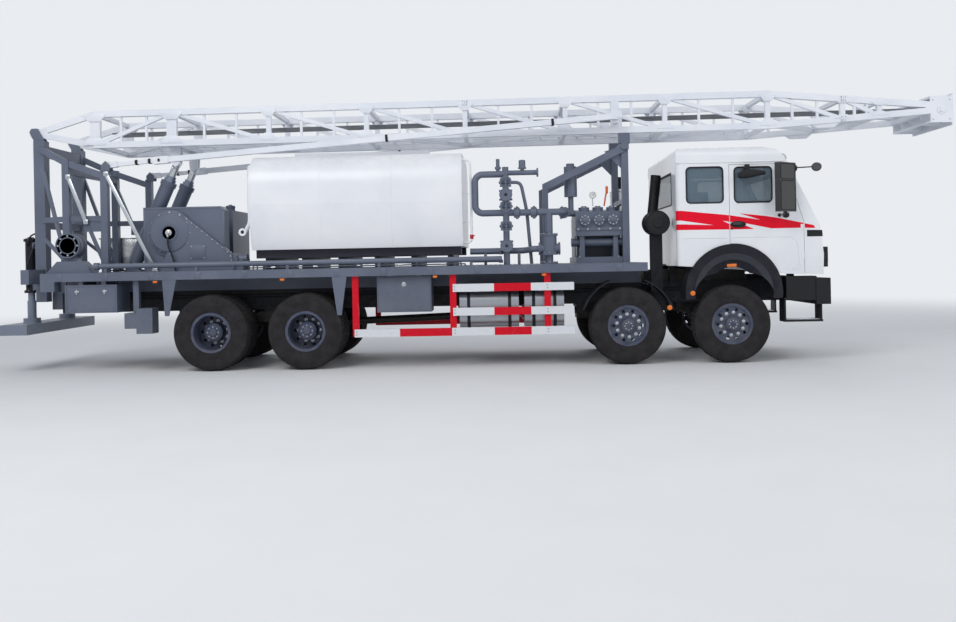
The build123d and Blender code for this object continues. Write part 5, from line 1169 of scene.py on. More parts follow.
# %% [markdown]
# The side struts carry black clamps that hold their hydraulic lines. A clamp is a square collar a
# little wider than the strut. Two sit on the thin inner rod and the others on the tube, so they
# part as the strut grows.

# %% Strut clamps
STRUT_Y, STRUT_FOOT, STRUT_SLOPE = 0.850, (-5.402, 2.992), 0.0735
# Half of each part's width, and where its clamps sit.
STRUT_PARTS = (
    ("strut_rods", 0.028, (-4.959, -4.767)),
    ("strut_tubes", 0.040, (-4.619, -1.30, 1.10)),
)
for body, half, places in STRUT_PARTS:
    wide = 2 * half + 0.016
    collars = Stock()
    for _, side in SIDES:
        y = side * STRUT_Y
        outer = y + side * wide / 2
        for x in places:
            z = STRUT_FOOT[1] + STRUT_SLOPE * (x - STRUT_FOOT[0])
            collars.bar((x - 0.018, y, z), (x + 0.018, y, z + 0.0026), wide, wide)
            low = (x - 0.015, outer - side * 0.002, z - 0.02)
            collars.block(low, (x + 0.015, outer + side * 0.018, z + 0.02))
    collars.become(f"{body[:-1]}_clamps", body, black_moulding)
print("strut clamps made")

# %% [markdown]
# The working deck is checker plate in a channel frame. The raised lozenges are pressed at 30 mm
# pitch; here each is a small four-sided lump, laid only where the deck is open to view, because a
# bump map loses its shape seen along the deck. They are drawn at about twice their real size.

# %% Deck checker plate
DECK_TOP = 1.430
LOZENGE_PITCH = 0.075
LOZENGES_ACROSS, LOZENGE_FIRST_Y = 32, -1.18
LOZENGE_HALF = (0.026, 0.008)
LOZENGE_FOOT, LOZENGE_PEAK = 0.0004, 0.004
OPEN_DECK = ((-5.30, -4.86), (-0.18, 1.36), (2.12, 2.34))


def add_lozenge(stock, x, y, turn):
    """One raised lozenge of the plate."""
    long, short = LOZENGE_HALF
    ring = []
    for a, b in ((long, 0), (0, short), (-long, 0), (0, -short)):
        spot = (x + a * cos(turn) - b * sin(turn), y + a * sin(turn) + b * cos(turn))
        ring.append(stock.mesh.verts.new((*spot, DECK_TOP + LOZENGE_FOOT)))
    peak = stock.mesh.verts.new((x, y, DECK_TOP + LOZENGE_PEAK))
    for at in range(4):
        stock.mesh.faces.new((ring[at], ring[(at + 1) % 4], peak))


plating = Stock()
for low, high in OPEN_DECK:
    for row in range(int((high - low) / LOZENGE_PITCH)):
        x = low + (row + 0.5) * LOZENGE_PITCH
        for line in range(LOZENGES_ACROSS):
            y = LOZENGE_FIRST_Y + line * LOZENGE_PITCH
            add_lozenge(plating, x, y, radians(45 if (row + line) % 2 else -45))
plating.become("deck_checker_plate", "root", machine_paint, "machine_grey")
print("lozenges every", LOZENGE_PITCH, "m")

# %% [markdown]
# The tank is a steel vessel with pressed ends. Welded seams run round it, sight slots are cut in
# its rear end, and a ladder, a filling pipe and a level pipe stand at its ends.

# %% Tank seams, sight slots and fittings
TANK_REAR, TANK_FRONT = -3.235, -0.215
TANK_STEPS = 10
TANK_FOOT, TANK_FOOT_HALF, TANK_SIDE_HIGH = 1.710, 1.080, 0.640
TANK_LEAN, TANK_BULGE = 0.130, 0.020
TANK_CORNER, TANK_CORNER_RADIUS = (0.780, 2.630), 0.430
SEAM_PROUD, SEAM_RADIUS = 0.001, 0.004
SLOT_Y, SLOT_LOW, SLOT_PITCH, SLOT_HIGH = (-0.66, -0.63), 1.86, 0.28, 0.19


def tank_section(proud):
    """Half of the tank's section as (distance from the middle, height) from bottom to top."""
    points = [(TANK_FOOT_HALF, TANK_FOOT)]
    for at in range(1, TANK_STEPS + 1):
        share = at / TANK_STEPS
        half = TANK_FOOT_HALF + TANK_LEAN * share + 4 * TANK_BULGE * share * (1 - share)
        points.append((half, TANK_FOOT + share * TANK_SIDE_HIGH))
    y, z = TANK_CORNER
    for at in range(TANK_STEPS + 1):
        turn = radians(90 * at / TANK_STEPS)
        points.append((y + TANK_CORNER_RADIUS * cos(turn), z + TANK_CORNER_RADIUS * sin(turn)))
    return [(y + proud, z + proud * 0.5) for y, z in points]


seams = Stock()
half = tank_section(SEAM_PROUD)
path = half + [(-y, z) for y, z in reversed(half)]
for x in (TANK_REAR + 0.02, TANK_FRONT - 0.02, TANK_REAR + 1.01, TANK_REAR + 2.02):
    seams.pipe([(x, y, z) for y, z in path], SEAM_RADIUS, 6, 0.1)
for y in (-0.42, 0.42):
    seams.bar((TANK_REAR + 0.52, y, 3.148), (TANK_FRONT - 0.52, y, 3.148), 0.050, 0.004)
seams.become("tank_weld_seams", "root", tank_paint, "tank_white")
slots, frames = Stock(), Stock()
near, far = SLOT_Y
for at in range(4):
    z = SLOT_LOW + at * SLOT_PITCH
    slots.block((TANK_REAR - 0.004, near, z), (TANK_REAR - 0.0005, far, z + SLOT_HIGH), 0.001)
    rim = window_corners((near - 0.012, z - 0.012, far + 0.012, z + SLOT_HIGH + 0.012), 0)
    rim = [(TANK_REAR - 0.004, across, height) for across, _, height in rim]
    frames.pipe(loop_points(rim), 0.006, 8, 3)
slots.become("tank_sight_glass", "root", cab_pane)
TANK_LADDER_X, TANK_LADDER_SIDES = TANK_REAR - 0.09, (0.35, 0.75)
for y in TANK_LADDER_SIDES:
    frames.bar((TANK_LADDER_X, y, 1.75), (TANK_LADDER_X, y, 3.02), 0.035, 0.02)
for at in range(5):
    ends = [(TANK_LADDER_X, y, 1.85 + at * 0.27) for y in TANK_LADDER_SIDES]
    frames.rod(*ends, 0.012, 10)
for y in TANK_LADDER_SIDES:
    for z in (1.80, 2.95):
        frames.bar((TANK_LADDER_X, y, z), (TANK_REAR + 0.01, y, z), 0.03, 0.01)
LEVEL_X, LEVEL_Y, LEVEL_RADIUS = TANK_FRONT + 0.125, -1.02, 0.017
level_run = ((TANK_FRONT - 0.01, 2.945), (LEVEL_X - 0.01, 2.930), (LEVEL_X, 2.50))
level_run += ((LEVEL_X, 1.76), (TANK_FRONT - 0.01, 1.76))
frames.pipe([(x, LEVEL_Y, z) for x, z in level_run], LEVEL_RADIUS, 12, 6)
for z in (2.45, 2.05):
    frames.bar((TANK_FRONT - 0.01, LEVEL_Y, z), (LEVEL_X, LEVEL_Y, z), 0.020, 0.010)
FILL_X, FILL_Z, FILL_RADIUS, FILL_OUT = TANK_REAR - 0.050, 1.970, 0.030, 0.070
fill_run = [(TANK_REAR + 0.01, -0.95, 2.930), (FILL_X, -0.95, 2.915), (FILL_X, -0.97, 2.10)]
fill_run += [(FILL_X - FILL_OUT, -0.99, FILL_Z), (FILL_X - FILL_OUT, -1.110, FILL_Z)]
frames.pipe(fill_run, FILL_RADIUS, 16, 2)
collar = [(0.0, 0.030), (0.0, 0.054), (-0.018, 0.054), (-0.018, 0.026), (-0.002, 0.024)]
frames.turned(collar, (FILL_X - FILL_OUT, -1.106, FILL_Z), capped=False)
for z in (2.70, 2.25):
    frames.bar((FILL_X, -0.96, z), (TANK_REAR + 0.01, -0.96, z), 0.040, 0.012)
frames.become("tank_sight_frames_and_ladder", "root", tank_paint, "tank_white")
mouths = Stock()
plug = [(0.0, 0), (0.0, 0.0245), (-0.003, 0.0245), (-0.003, 0)]
mouths.turned(plug, (FILL_X - FILL_OUT, -1.1115, FILL_Z))
mouths.become("fill_pipe_plug", "root", seal_rubber)
COCK_Z = 1.840
cocks = Stock()
nut = [(-0.030, 0.017), (-0.030, 0.026), (0.030, 0.026), (0.030, 0.017)]
cocks.turned(nut, (LEVEL_X, LEVEL_Y, COCK_Z), "Z", 6)
handle_end = (LEVEL_X + 0.045, LEVEL_Y - 0.036, COCK_Z + 0.020)
cocks.bar((LEVEL_X, LEVEL_Y - 0.024, COCK_Z), handle_end, 0.008, 0.016)
cocks.become("level_tube_cock", "root", handle_red)
HATCH, HATCH_BOLT_CIRCLE, HATCH_BOLT_Z = (-1.115, 0, 3.140), 0.231, 3.149
hatch = Stock()
ring = [(-0.012, 0.205), (0.0, 0.212), (0.010, 0.240), (0.006, 0.256), (-0.03, 0.258)]
hatch.turned(ring, HATCH, "Z")
places = ring_about((*HATCH[:2], HATCH_BOLT_Z), HATCH_BOLT_CIRCLE, 12, "Z")
hatch.bolts(places, UP, 0.009, 0.008)
hatch.become("tank_hatch_ring", "root", zinc)
print("tank dressed")

# %% [markdown]
# The drawworks is a drum of wire rope. Rope lies on the drum in neat turns, so the visible layer
# is a row of rings beside each other at the rope's own pitch, which reads as wound rope for a
# tenth of the faces of a true helix. The cover gets its bolts, and the union that feeds cooling
# water to the drum's brake sits on the end of the shaft with its hose.

# %% Drawworks drum, cover and chain guard
DRUM = Vector((-4.502, 0, 1.990))
ROPE_PITCH, ROPE_TURNS, ROPE_FIRST_Y, LAYER_RADIUS = 0.024, 30, -0.24, 0.215
COVER_RADIUS, CASE_FACE_Y, COVER_EDGE_Y, COVER_NECK_Y = 0.330, -0.770, -0.815, -0.8725
GUARD_FACE_Y, COVER_BOLTS_Y, COVER_BOLT_CIRCLE = -0.845, -0.836, 0.300
# Edges of the chain guard and of the case behind it: along the truck, and height.
GUARD_EDGE = ((-4.285, 2.220), (-3.618, 1.668), (-3.580, 1.480), (-3.580, 1.440))
CASE_EDGE = ((-4.893, 1.44), (-4.893, 2.350), (-3.778, 2.350), (-3.730, 2.302), (-3.730, 1.75))
wound = Stock()
profile = [(-0.258, 0.172)]
for at in range(ROPE_TURNS):
    for share, height in ((-0.45, 0.0), (-0.25, 0.008), (0, 0.011), (0.25, 0.008), (0.45, 0.0)):
        profile.append((ROPE_FIRST_Y + (at + share) * ROPE_PITCH, LAYER_RADIUS + height))
wound.turned([*profile, (0.475, 0.172)], DRUM, "Y", 40)
wound.become("drum_wound_rope", "root", wire_rope)
covers = Stock()
lip = ((0.0, -0.004), (0.0, 0.010), (0.014, 0.012), (0.022, -0.004))
lip = [(at, COVER_RADIUS + more) for at, more in lip]
covers.turned(lip, DRUM + LEFT * COVER_EDGE_Y, "Y", 56)
neck = [(0.0, 0.128), (-0.007, 0.126), (-0.007, 0.104), (0.0, 0.100)]
covers.turned(neck, DRUM + LEFT * COVER_NECK_Y, "Y", 40)
for edge, y, wide in ((GUARD_EDGE, GUARD_FACE_Y, 0.028), (CASE_EDGE, CASE_FACE_Y, 0.026)):
    for (x1, z1), (x2, z2) in zip(edge, edge[1:]):
        covers.bar((x1, y, z1), (x2, y, z2), 0.008, wide, edge=0.003)
covers.block((-4.20, -0.853, 1.60), (-3.98, -0.844, 1.80), 0.004)
covers.become("drawworks_cover_lips", "root", machine_paint, "machine_grey")
fixings = Stock()
cover_middle = DRUM + LEFT * COVER_BOLTS_Y
for place in ring_about(cover_middle, COVER_BOLT_CIRCLE, 12):
    out = (place - cover_middle).normalized()
    fixings.bolts([place], out * 0.55 + LEFT * -0.83, 0.011, 0.010)
for (x1, z1), (x2, z2), count in ((*GUARD_EDGE[:2], 9), (*GUARD_EDGE[1:3], 3)):
    shares = [(at + 0.5) / count for at in range(count)]
    face = GUARD_FACE_Y - 0.004
    places = [(x1 + (x2 - x1) * share, face, z1 + (z2 - z1) * share) for share in shares]
    fixings.bolts(places, RIGHT, 0.008, 0.007)
places = [(x, -0.853, z) for x in (-4.185, -3.995) for z in (1.615, 1.785)]
fixings.bolts(places, RIGHT, 0.007, 0.006)
fixings.become("drawworks_bolts", "root", zinc)
union = Stock()
fitting = [(0, 0.046), (0.012, 0.046), (0.014, 0.034), (0.034, 0.032), (0.038, 0.024)]
fitting += [(0.058, 0.024), (0.062, 0.018), (0.062, 0)]
union.spun(fitting, DRUM + LEFT * -0.882, RIGHT, ACROSS, 24)
outlet = DRUM + LEFT * -0.925
union.rod(outlet + UP * 0.02, outlet + UP * -0.062, 0.016, 14)
union.become("drum_water_union", "root", stainless)
water_hose = Stock()
hose_run = [(-4.502, -0.925, 1.935), (-4.502, -0.925, 1.80)]
hose_run += [(-4.43, -0.905, 1.62), (-4.40, -0.900, 1.42)]
water_hose.pipe(hose_run, 0.014, 10, 8)
water_hose.become("drum_water_hose", "root", hose_cover)
cap = Stock()
breather = [(0, 0.074), (0.018, 0.076), (0.034, 0.068), (0.036, 0.030), (0.050, 0.026)]
cap.turned([*breather, (0.052, 0)], (-3.910, 0.2, 2.400), "Z")
cap.become("hydraulic_tank_cap", "root", machine_paint, "machine_grey")
print("rope turns on the drum", ROPE_TURNS)

# %% [markdown]
# The pump's fluid end is a forging bored for three plungers: three valve covers with their
# bolted glands face the side and three more face up. Its finish is the same paint, so the work
# is in the turned covers, the stud rings and the gauge.

# %% Pump covers, glands and gauge
PUMP_BORES = (1.560, 1.765, 1.970)
SIDE_COVER, TOP_COVER = (-0.640, 2.060), (-0.460, 2.235)
STUDS_PER_COVER, STUD_CIRCLE = 8, 0.063
VALVE_COVER = ((0, 0.082), (0.012, 0.082), (0.016, 0.076), (0.016, 0.048), (0.034, 0.045))
VALVE_COVER += ((0.038, 0.038), (0.038, 0))
PUMP_GAUGE = Vector((1.69, -0.50, 2.43))
LEVER_TOP = (1.90, -0.50, 2.50)
TICKS, FIRST_TICK, TICK_PITCH = 9, -45, 33.75


def add_ticks(stock, middle, near, far):
    """The ticks of a dial that faces the side, between two radii."""
    for at in range(TICKS):
        turn = radians(FIRST_TICK + at * TICK_PITCH)
        way = Vector((cos(turn), 0, sin(turn)))
        stock.bar(middle + way * near, middle + way * far, 0.001, 0.003, edge=0.0003)


glands, studs = Stock(), Stock()
for x in PUMP_BORES:
    for (y, z), way, axis in ((SIDE_COVER, RIGHT, "Y"), (TOP_COVER, UP, "Z")):
        place = Vector((x, y, z))
        glands.spun(VALVE_COVER, place, way)
        ring = ring_about(place + way * 0.016, STUD_CIRCLE, STUDS_PER_COVER, axis)
        studs.bolts(ring, way, 0.009, 0.010)
glands.block((1.420, -0.612, 1.905), (2.110, -0.598, 1.955), 0.004)
for x in (1.47, 2.06):
    glands.block((x - 0.012, -0.36, 1.53), (x + 0.012, -0.10, 1.83), 0.003)
for at in range(7):
    x = 1.50 + at * 0.09
    glands.block((x, 0.645, 1.56), (x + 0.012, 0.66, 2.05), 0.003)
glands.become("pump_valve_covers", "root", machine_paint, "machine_grey")
studs.bolts([(x, -0.612, 1.93) for x in (1.46, 1.60, 1.765, 1.93, 2.07)], RIGHT, 0.011, 0.010)
studs.bolts([(x, y, 1.52) for x in (1.48, 2.05) for y in (-0.55, 0.62)], UP, 0.014, 0.012)
studs.become("pump_studs", "root", zinc)
gauge = Stock()
case = [(0, 0.05), (0.03, 0.052), (0.034, 0.050), (0.034, 0.046), (0.030, 0.045), (0.030, 0)]
gauge.spun(case, PUMP_GAUGE, RIGHT)
gauge.pipe([PUMP_GAUGE + Vector((0, 0.015, drop)) for drop in (-0.04, -0.16)], 0.008, 8)
gauge.become("pump_gauge_case", "root", zinc)
dial = Stock()
dial.spun([(0.0305, 0.044), (0.031, 0.044), (0.031, 0)], PUMP_GAUGE, RIGHT)
dial.become("pump_gauge_dial", "root", gauge_white)
pointer = Stock()
middle = PUMP_GAUGE + RIGHT * 0.033
pointer.bar(middle, middle + Vector((0.025, 0, 0.025)), 0.002, 0.004, edge=0.0005)
add_ticks(pointer, PUMP_GAUGE + RIGHT * 0.0325, 0.034, 0.040)
pointer.become("pump_gauge_pointer", "root", black_moulding)
lever = Stock()
lever.pipe([(1.86, -0.47, 2.27), (1.88, -0.49, 2.40), LEVER_TOP], 0.012, 10)
grip = [(-0.05, 0.012), (-0.045, 0.018), (0.05, 0.020), (0.06, 0.014), (0.062, 0)]
lever.turned(grip, LEVER_TOP, "Z", 14)
lever.become("pump_orange_lever", "root", lever_orange)
print("pump bores", len(PUMP_BORES))

# %% [markdown]
# The valve stack is a column of valves between bolted flanges. Two of them turn by a disc wheel
# that faces the side; the others are check valves, whose bodies swell like a lens. A header with
# its gauge post and relief valve closes the top, and manifold pipes run back from the foot.

# %% Valve stack, flanges and unions
VALVES = (1.700, 1.980, 2.260, 2.420, 2.600)
WHEELED = (1.700, 2.420)
STACK = (0.405, -1.050)
WHEEL_FACE_Y = -1.192
HEADER_Z, HEADER_END = 2.735, 0.860
DROP_X = 1.010
CHECK_VALVE = ((-0.038, 0.052), (-0.030, 0.070), (-0.010, 0.098))
CHECK_VALVE += tuple((-at, radius) for at, radius in reversed(CHECK_VALVE))
VALVE_FLANGE = ((-0.010, 0.092), (-0.012, 0.095), (0.010, 0.095), (0.012, 0.092))
BONNET = ((0, 0.050), (-0.05, 0.045), (-0.06, 0.030), (-0.08, 0.026), (-0.10, 0.022))
UNION = ((-0.045, 0.047), (-0.043, 0.072), (0.030, 0.078), (0.034, 0.070), (0.05, 0.047))
UNION_PLACES = (
    ((0.56, -1.05, 2.17), "X"),
    ((0.80, -1.05, 2.17), "X"),
    ((1.25, -0.88, 2.17), "Y"),
    ((1.25, -0.64, 2.17), "Y"),
)
END_CAP = ((-0.012, 0.034), (-0.012, 0.062), (0.012, 0.062), (0.012, 0))
GAUGE_POST = ((0, 0.026), (0.030, 0.026), (0.034, 0.042), (0.070, 0.042), (0.074, 0.026))
GAUGE_POST += ((0.180, 0.026), (0.184, 0))
RELIEF_VALVE = ((0, 0.026), (0.030, 0.026), (0.034, 0.058), (0.056, 0.058), (0.060, 0.048))
RELIEF_VALVE += ((0.150, 0.048), (0.160, 0.036), (0.160, 0))
DROP_FLANGE = ((-0.012, 0.100), (-0.014, 0.122), (0.012, 0.122), (0.014, 0.100))
SIDE_FLANGE = ((-0.011, 0.068), (-0.012, 0.090), (0.012, 0.090), (0.011, 0.068))
flanges, stack_bolts = Stock(), Stock()
for z in VALVES:
    if z not in WHEELED:
        flanges.turned(CHECK_VALVE, (*STACK, z), "Z", 36)
        continue
    for end in (-0.062, 0.062):
        flanges.turned(VALVE_FLANGE, (*STACK, z + end), "Z")
        places = ring_about((*STACK, z + end + 0.011), 0.080, 8, "Z")
        stack_bolts.bolts(places, UP, 0.007, 0.008)
    flanges.turned(BONNET, (STACK[0], -1.085, z))
for spot, axis in UNION_PLACES:
    flanges.turned(UNION, spot, axis)
    for at in range(3):
        turn = tau * at / 3
        first = LEFT if axis == "X" else ACROSS
        way = first * cos(turn) + UP * sin(turn)
        start, end = Vector(spot) + way * 0.07, Vector(spot) + way * 0.095
        flanges.bar(start, end, 0.03, 0.03, UP)
flanges.rod((*STACK, HEADER_Z), (HEADER_END, STACK[1], HEADER_Z), 0.036, 24)
flanges.turned(END_CAP, (HEADER_END, STACK[1], HEADER_Z), "X")
for profile, x in ((GAUGE_POST, 0.300), (RELIEF_VALVE, 0.645)):
    flanges.turned(profile, (x, STACK[1], HEADER_Z + 0.020), "Z", 24)
for z in (1.575, 1.845):
    flanges.turned(DROP_FLANGE, (DROP_X, STACK[1], z), "Z")
for end in (-0.140, 0.140):
    flanges.turned(SIDE_FLANGE, (DROP_X + end, STACK[1], 1.65), "X")
for z in (1.590, 1.860, 1.461):
    stack_bolts.bolts(ring_about((DROP_X, STACK[1], z), 0.108, 8, "Z"), UP, 0.009, 0.009)
flanges.become("valve_flanges_and_unions", "root", machine_paint, "machine_grey")
stack_bolts.become("valve_bolts", "root", zinc)
DISH = ((0.0, 0.020), (0.0, 0.078), (-0.004, 0.090), (-0.014, 0.092), (-0.018, 0.084))
DISH += ((-0.010, 0.074), (-0.008, 0.022))
HUB = ((0.012, 0.021), (-0.014, 0.021), (-0.020, 0.015), (-0.020, 0))
wheels, hubs = Stock(), Stock()
for z in WHEELED:
    wheels.turned(DISH, (STACK[0], WHEEL_FACE_Y, z), "Y", 36, capped=False)
    hubs.turned(HUB, (STACK[0], WHEEL_FACE_Y, z))
wheels.become("valve_hand_wheels", "root", machine_paint, "machine_grey")
hubs.become("valve_wheel_hubs", "root", oily_forging)
pipes = Stock()
for z, y in ((1.50, -1.02), (1.50, -0.90), (1.62, -0.96)):
    pipes.pipe([(-0.10, y, z), (0.32, y, z), (0.32, y, z - 0.04)], 0.030, 12)
low_run = [(-0.12, -0.93, 1.63), (0.66, -0.93, 1.63), (0.78, -1.05, 1.65), (0.90, -1.05, 1.65)]
pipes.pipe(low_run, 0.045, 14)
relief_run = [(0.46, -1.05, 2.60), (0.62, -1.05, 2.60), (0.70, -1.00, 2.20)]
relief_run += [(0.74, -0.92, 1.70), (0.76, -0.90, 1.44)]
pipes.pipe(relief_run, 0.024, 12)
for x in (0.10, 0.58):
    pipes.block((x - 0.02, -1.03, 1.43), (x + 0.02, -0.89, 1.60))
pipes.become("manifold_pipes", "root", machine_paint, "machine_grey")
print("valves", len(VALVES))

# %% [markdown]
# At the tail stand the parts that the crew works from: the control panel with its gauges and
# valve levers, the jacks that steady the truck, and the load beam. The panel is a folded sheet of
# stainless steel, so it mirrors its surroundings, and its levers end in turned black balls.

# %% Control panel with gauges and levers
PANEL_Y = 1.070
GAUGES, GAUGE_FIRST_X, GAUGE_PITCH, GAUGE_Z = 5, -6.22, 0.13, 1.88
GAUGE_RADIUS, MIDDLE_GAUGE_RADIUS = 0.048, 0.055
LEVERS, LEVER_FIRST_X, LEVER_PITCH, LEVER_Z = 8, -6.25, 0.082, 1.68
BALL_RADIUS, BALL_STEPS = 0.021, 10
LEVER_BOSS = ((0, 0.018), (0.010, 0.016), (0.012, 0.010), (0.012, 0))
BUTTON, BUTTON_Z = ((0, 0.016), (0.012, 0.015), (0.016, 0.010), (0.016, 0)), 1.58
BUTTONS = (
    ("panel_red_buttons", handle_red, (-6.24, -6.14)),
    ("panel_green_buttons", button_green, (-6.04,)),
)
panel = Stock()
panel.block((-6.30, PANEL_Y, 1.52), (-5.62, PANEL_Y - 0.16, 1.98), 0.008)
panel.block((-6.32, PANEL_Y + 0.05, 1.97), (-5.60, PANEL_Y - 0.18, 1.99))
for x in (-6.27, -5.70):
    panel.block((x, PANEL_Y - 0.02, 1.43), (x + 0.05, PANEL_Y - 0.14, 1.53))
panel.become("control_panel", "root", stainless)
gauges, dials, marks, levers = Stock(), Stock(), Stock(), Stock()
for at in range(GAUGES):
    radius = MIDDLE_GAUGE_RADIUS if at == GAUGES // 2 else GAUGE_RADIUS
    centre = Vector((GAUGE_FIRST_X + at * GAUGE_PITCH, PANEL_Y, GAUGE_Z))
    rim = [(0, radius), (0.016, radius), (0.020, radius - 0.003), (0.020, radius - 0.008)]
    gauges.spun([*rim, (0.016, radius - 0.009), (0.016, 0)], centre, LEFT, ACROSS, 24)
    face = [(0.0165, radius - 0.010), (0.0168, radius - 0.010), (0.0168, 0)]
    dials.spun(face, centre, LEFT, ACROSS, 24)
    needle = radians(40 + at * 50)
    pivot = centre + LEFT * 0.018
    tip = pivot + Vector((cos(needle), 0, sin(needle))) * radius * 0.6
    marks.bar(pivot, tip, 0.0015, 0.004, edge=0.0004)
    add_ticks(marks, centre + LEFT * 0.0175, radius * 0.62, radius * 0.74)
gauges.become("panel_gauge_cases", "root", zinc)
dials.become("panel_gauge_dials", "root", gauge_white)
ball = [radians(-90 + 180 * at / BALL_STEPS) for at in range(BALL_STEPS + 1)]
ball = [(BALL_RADIUS * sin(turn), BALL_RADIUS * cos(turn)) for turn in ball]
for at in range(LEVERS):
    foot = Vector((LEVER_FIRST_X + at * LEVER_PITCH, PANEL_Y, LEVER_Z))
    bend, end = foot + Vector((0, 0.05, 0.02)), foot + Vector((0, 0.10, 0.07))
    levers.pipe([foot - LEFT * 0.002, bend, end], 0.006, 8)
    marks.spun(ball, end + Vector((0, 0.010, 0.014)), Vector((0, 0.6, 0.8)), ACROSS, 16)
    levers.spun(LEVER_BOSS, foot, LEFT, ACROSS, 16)
levers.become("panel_levers", "root", zinc)
marks.become("panel_needles_and_balls", "root", black_moulding)
for name, finish, places in BUTTONS:
    buttons = Stock()
    for x in places:
        buttons.spun(BUTTON, (x, PANEL_Y, BUTTON_Z), LEFT, ACROSS, 18)
    buttons.become(name, "root", finish)
print("panel levers", LEVERS)

# %% [markdown]
# The sloping stays of the rear frame are bright zinc-plated flat bar, bolted at both ends. The
# flanged drum beside them is the tail winch, and the jacks below are hydraulic cylinders in black
# enamel, whose bolted flanges and hose ends give the size of everything near them.

# %% Rear stays, winch fixings, jack sleeves and hoses
STAY_Y = -0.908
STAYS = (((-5.958, 2.832), (-5.706, 2.172)), ((-5.398, 2.864), (-4.702, 1.450)))
WINCH = Vector((-5.870, -1.140, 1.825))
WINCH_RIM = ((0.0, 0.160), (-0.008, 0.162), (-0.008, 0.176), (0.0, 0.180))
WINCH_NECK = ((0.0, 0.108), (-0.006, 0.110), (-0.006, 0.122), (0.0, 0.124))
COIL_TURNS, COIL_FIRST_Y, COIL_PITCH = 6, 0.060, 0.022
COIL_TURN = ((-0.009, 0.150), (-0.004, 0.157), (0.004, 0.157), (0.009, 0.150))
JACK_X, JACK_Y, SLEEVE_RADIUS, SLEEVE_LOW, SLEEVE_HIGH = -6.705, 0.554, 0.0765, 1.152, 1.948
JACK_RIM = ((-0.016, 0.076), (-0.018, 0.100), (0.018, 0.100), (0.016, 0.076))
JACK_GLAND = ((0, 0.076), (0.012, 0.074), (0.016, 0.05), (0.03, 0.04), (0.032, 0))
# A jack's hoses: along the truck, outwards from the jack, and height.
JACK_HOSES = (
    (
        (JACK_X, 0.078, 1.24),
        (JACK_X, 0.13, 1.24),
        (-6.70, 0.14, 1.55),
        (-6.60, 0.10, 1.86),
        (-6.555, 0.05, 1.95),
    ),
    ((JACK_X, 0.078, 1.86), (JACK_X, 0.12, 1.86), (-6.66, 0.10, 2.00), (-6.560, 0.06, 2.04)),
)
# A line from the panel: along from its first end, across the truck, and height.
PANEL_LINE = ((0, PANEL_Y - 0.15, 1.56), (0, 0.86, 1.48), (0.05, 0.80, 1.455), (0.35, 0.70, 1.450))
BEAM_TOP, BEAM_FOOT = 0.700, ((0, 0.128), (0.012, 0.126), (0.016, 0.118), (0.016, 0.06))
stays, stay_bolts = Stock(), Stock()
for start, end in STAYS:
    (x1, z1), (x2, z2) = start, end
    stays.bar((x1, STAY_Y, z1), (x2, STAY_Y, z2), 0.012, 0.055, edge=0.003)
    for x, z in (start, end):
        low = (x - 0.035, STAY_Y + 0.012, z - 0.035)
        stays.block(low, (x + 0.035, STAY_Y - 0.010, z + 0.035), 0.006)
        stay_bolts.bolts([(x, STAY_Y - 0.010, z)], RIGHT, 0.014, 0.012)
stays.block((-4.745, STAY_Y + 0.03, 1.430), (-4.660, STAY_Y - 0.012, 1.452), 0.003)
stays.become("rear_bright_stays", "root", zinc)
winch = Stock()
winch.turned(WINCH_RIM, WINCH, "Y", 40)
winch.turned(WINCH_NECK, WINCH, "Y", 32)
winch.become("tail_winch_rims", "root", machine_paint, "machine_grey")
stay_bolts.bolts(ring_about(WINCH, 0.141, 8), RIGHT, 0.011, 0.010)
stay_bolts.become("stay_and_winch_bolts", "root", zinc)
coil = Stock()
profile = [(0.047, 0.146)]
for at in range(COIL_TURNS):
    middle = COIL_FIRST_Y + at * COIL_PITCH
    profile += [(middle + along, radius) for along, radius in COIL_TURN]
coil.turned([*profile, (0.200, 0.146)], WINCH, "Y", 36, capped=False)
coil.become("tail_winch_rope", "root", wire_rope)
sleeves, jack_bolts, hoses = Stock(), Stock(), Stock()
for _, side in SIDES:
    foot = Vector((JACK_X, side * JACK_Y, 0))
    tube = [(SLEEVE_LOW, SLEEVE_RADIUS), (SLEEVE_HIGH, SLEEVE_RADIUS)]
    sleeves.turned(tube, foot, "Z", 36, capped=False)
    for z in (1.165, 1.930):
        sleeves.turned(JACK_RIM, foot + UP * z, "Z", 32, capped=False)
        ring = ring_about(foot + UP * (z + 0.018), 0.088, 8, "Z")
        jack_bolts.bolts(ring, UP, 0.008, 0.008)
    sleeves.turned(JACK_GLAND, foot + UP * SLEEVE_HIGH, "Z")
    for run in JACK_HOSES:
        hoses.pipe([(x, side * (JACK_Y + out), z) for x, out, z in run], 0.012, 10, 8)
sleeves.become("jack_sleeves", "root", chassis_paint, "chassis_black")
jack_bolts.become("jack_flange_bolts", "root", zinc)
for at in range(5):
    first = -6.16 + at * 0.10
    hoses.pipe([(first + along, y, z) for along, y, z in PANEL_LINE], 0.011, 8, 6)
hoses.become("tail_hoses", "root", hose_cover)
feet, foot_bolts = Stock(), Stock()
for y in (-JACK_Y, JACK_Y):
    feet.turned(BEAM_FOOT, (JACK_X, y, BEAM_TOP), "Z")
    foot_bolts.bolts(ring_about((JACK_X, y, BEAM_TOP + 0.016), 0.102, 8, "Z"), UP, 0.012, 0.010)
feet.become("load_beam_feet", "jack_beam", beam_paint, "machine_grey")
foot_bolts.become("load_beam_bolts", "jack_beam", zinc)
print("tail dressed")

# %% [markdown]
# Under the deck hang fuel tanks and tool boxes. Straps, latches, caps and door folds are the
# parts that show how big these are. Each strap is a thin band that follows the tank's rounded
# section.

# %% Fuel tank straps, caps and tool box latches
TANK_SPANS = ((-0.280, 0.560), (0.640, 1.200))
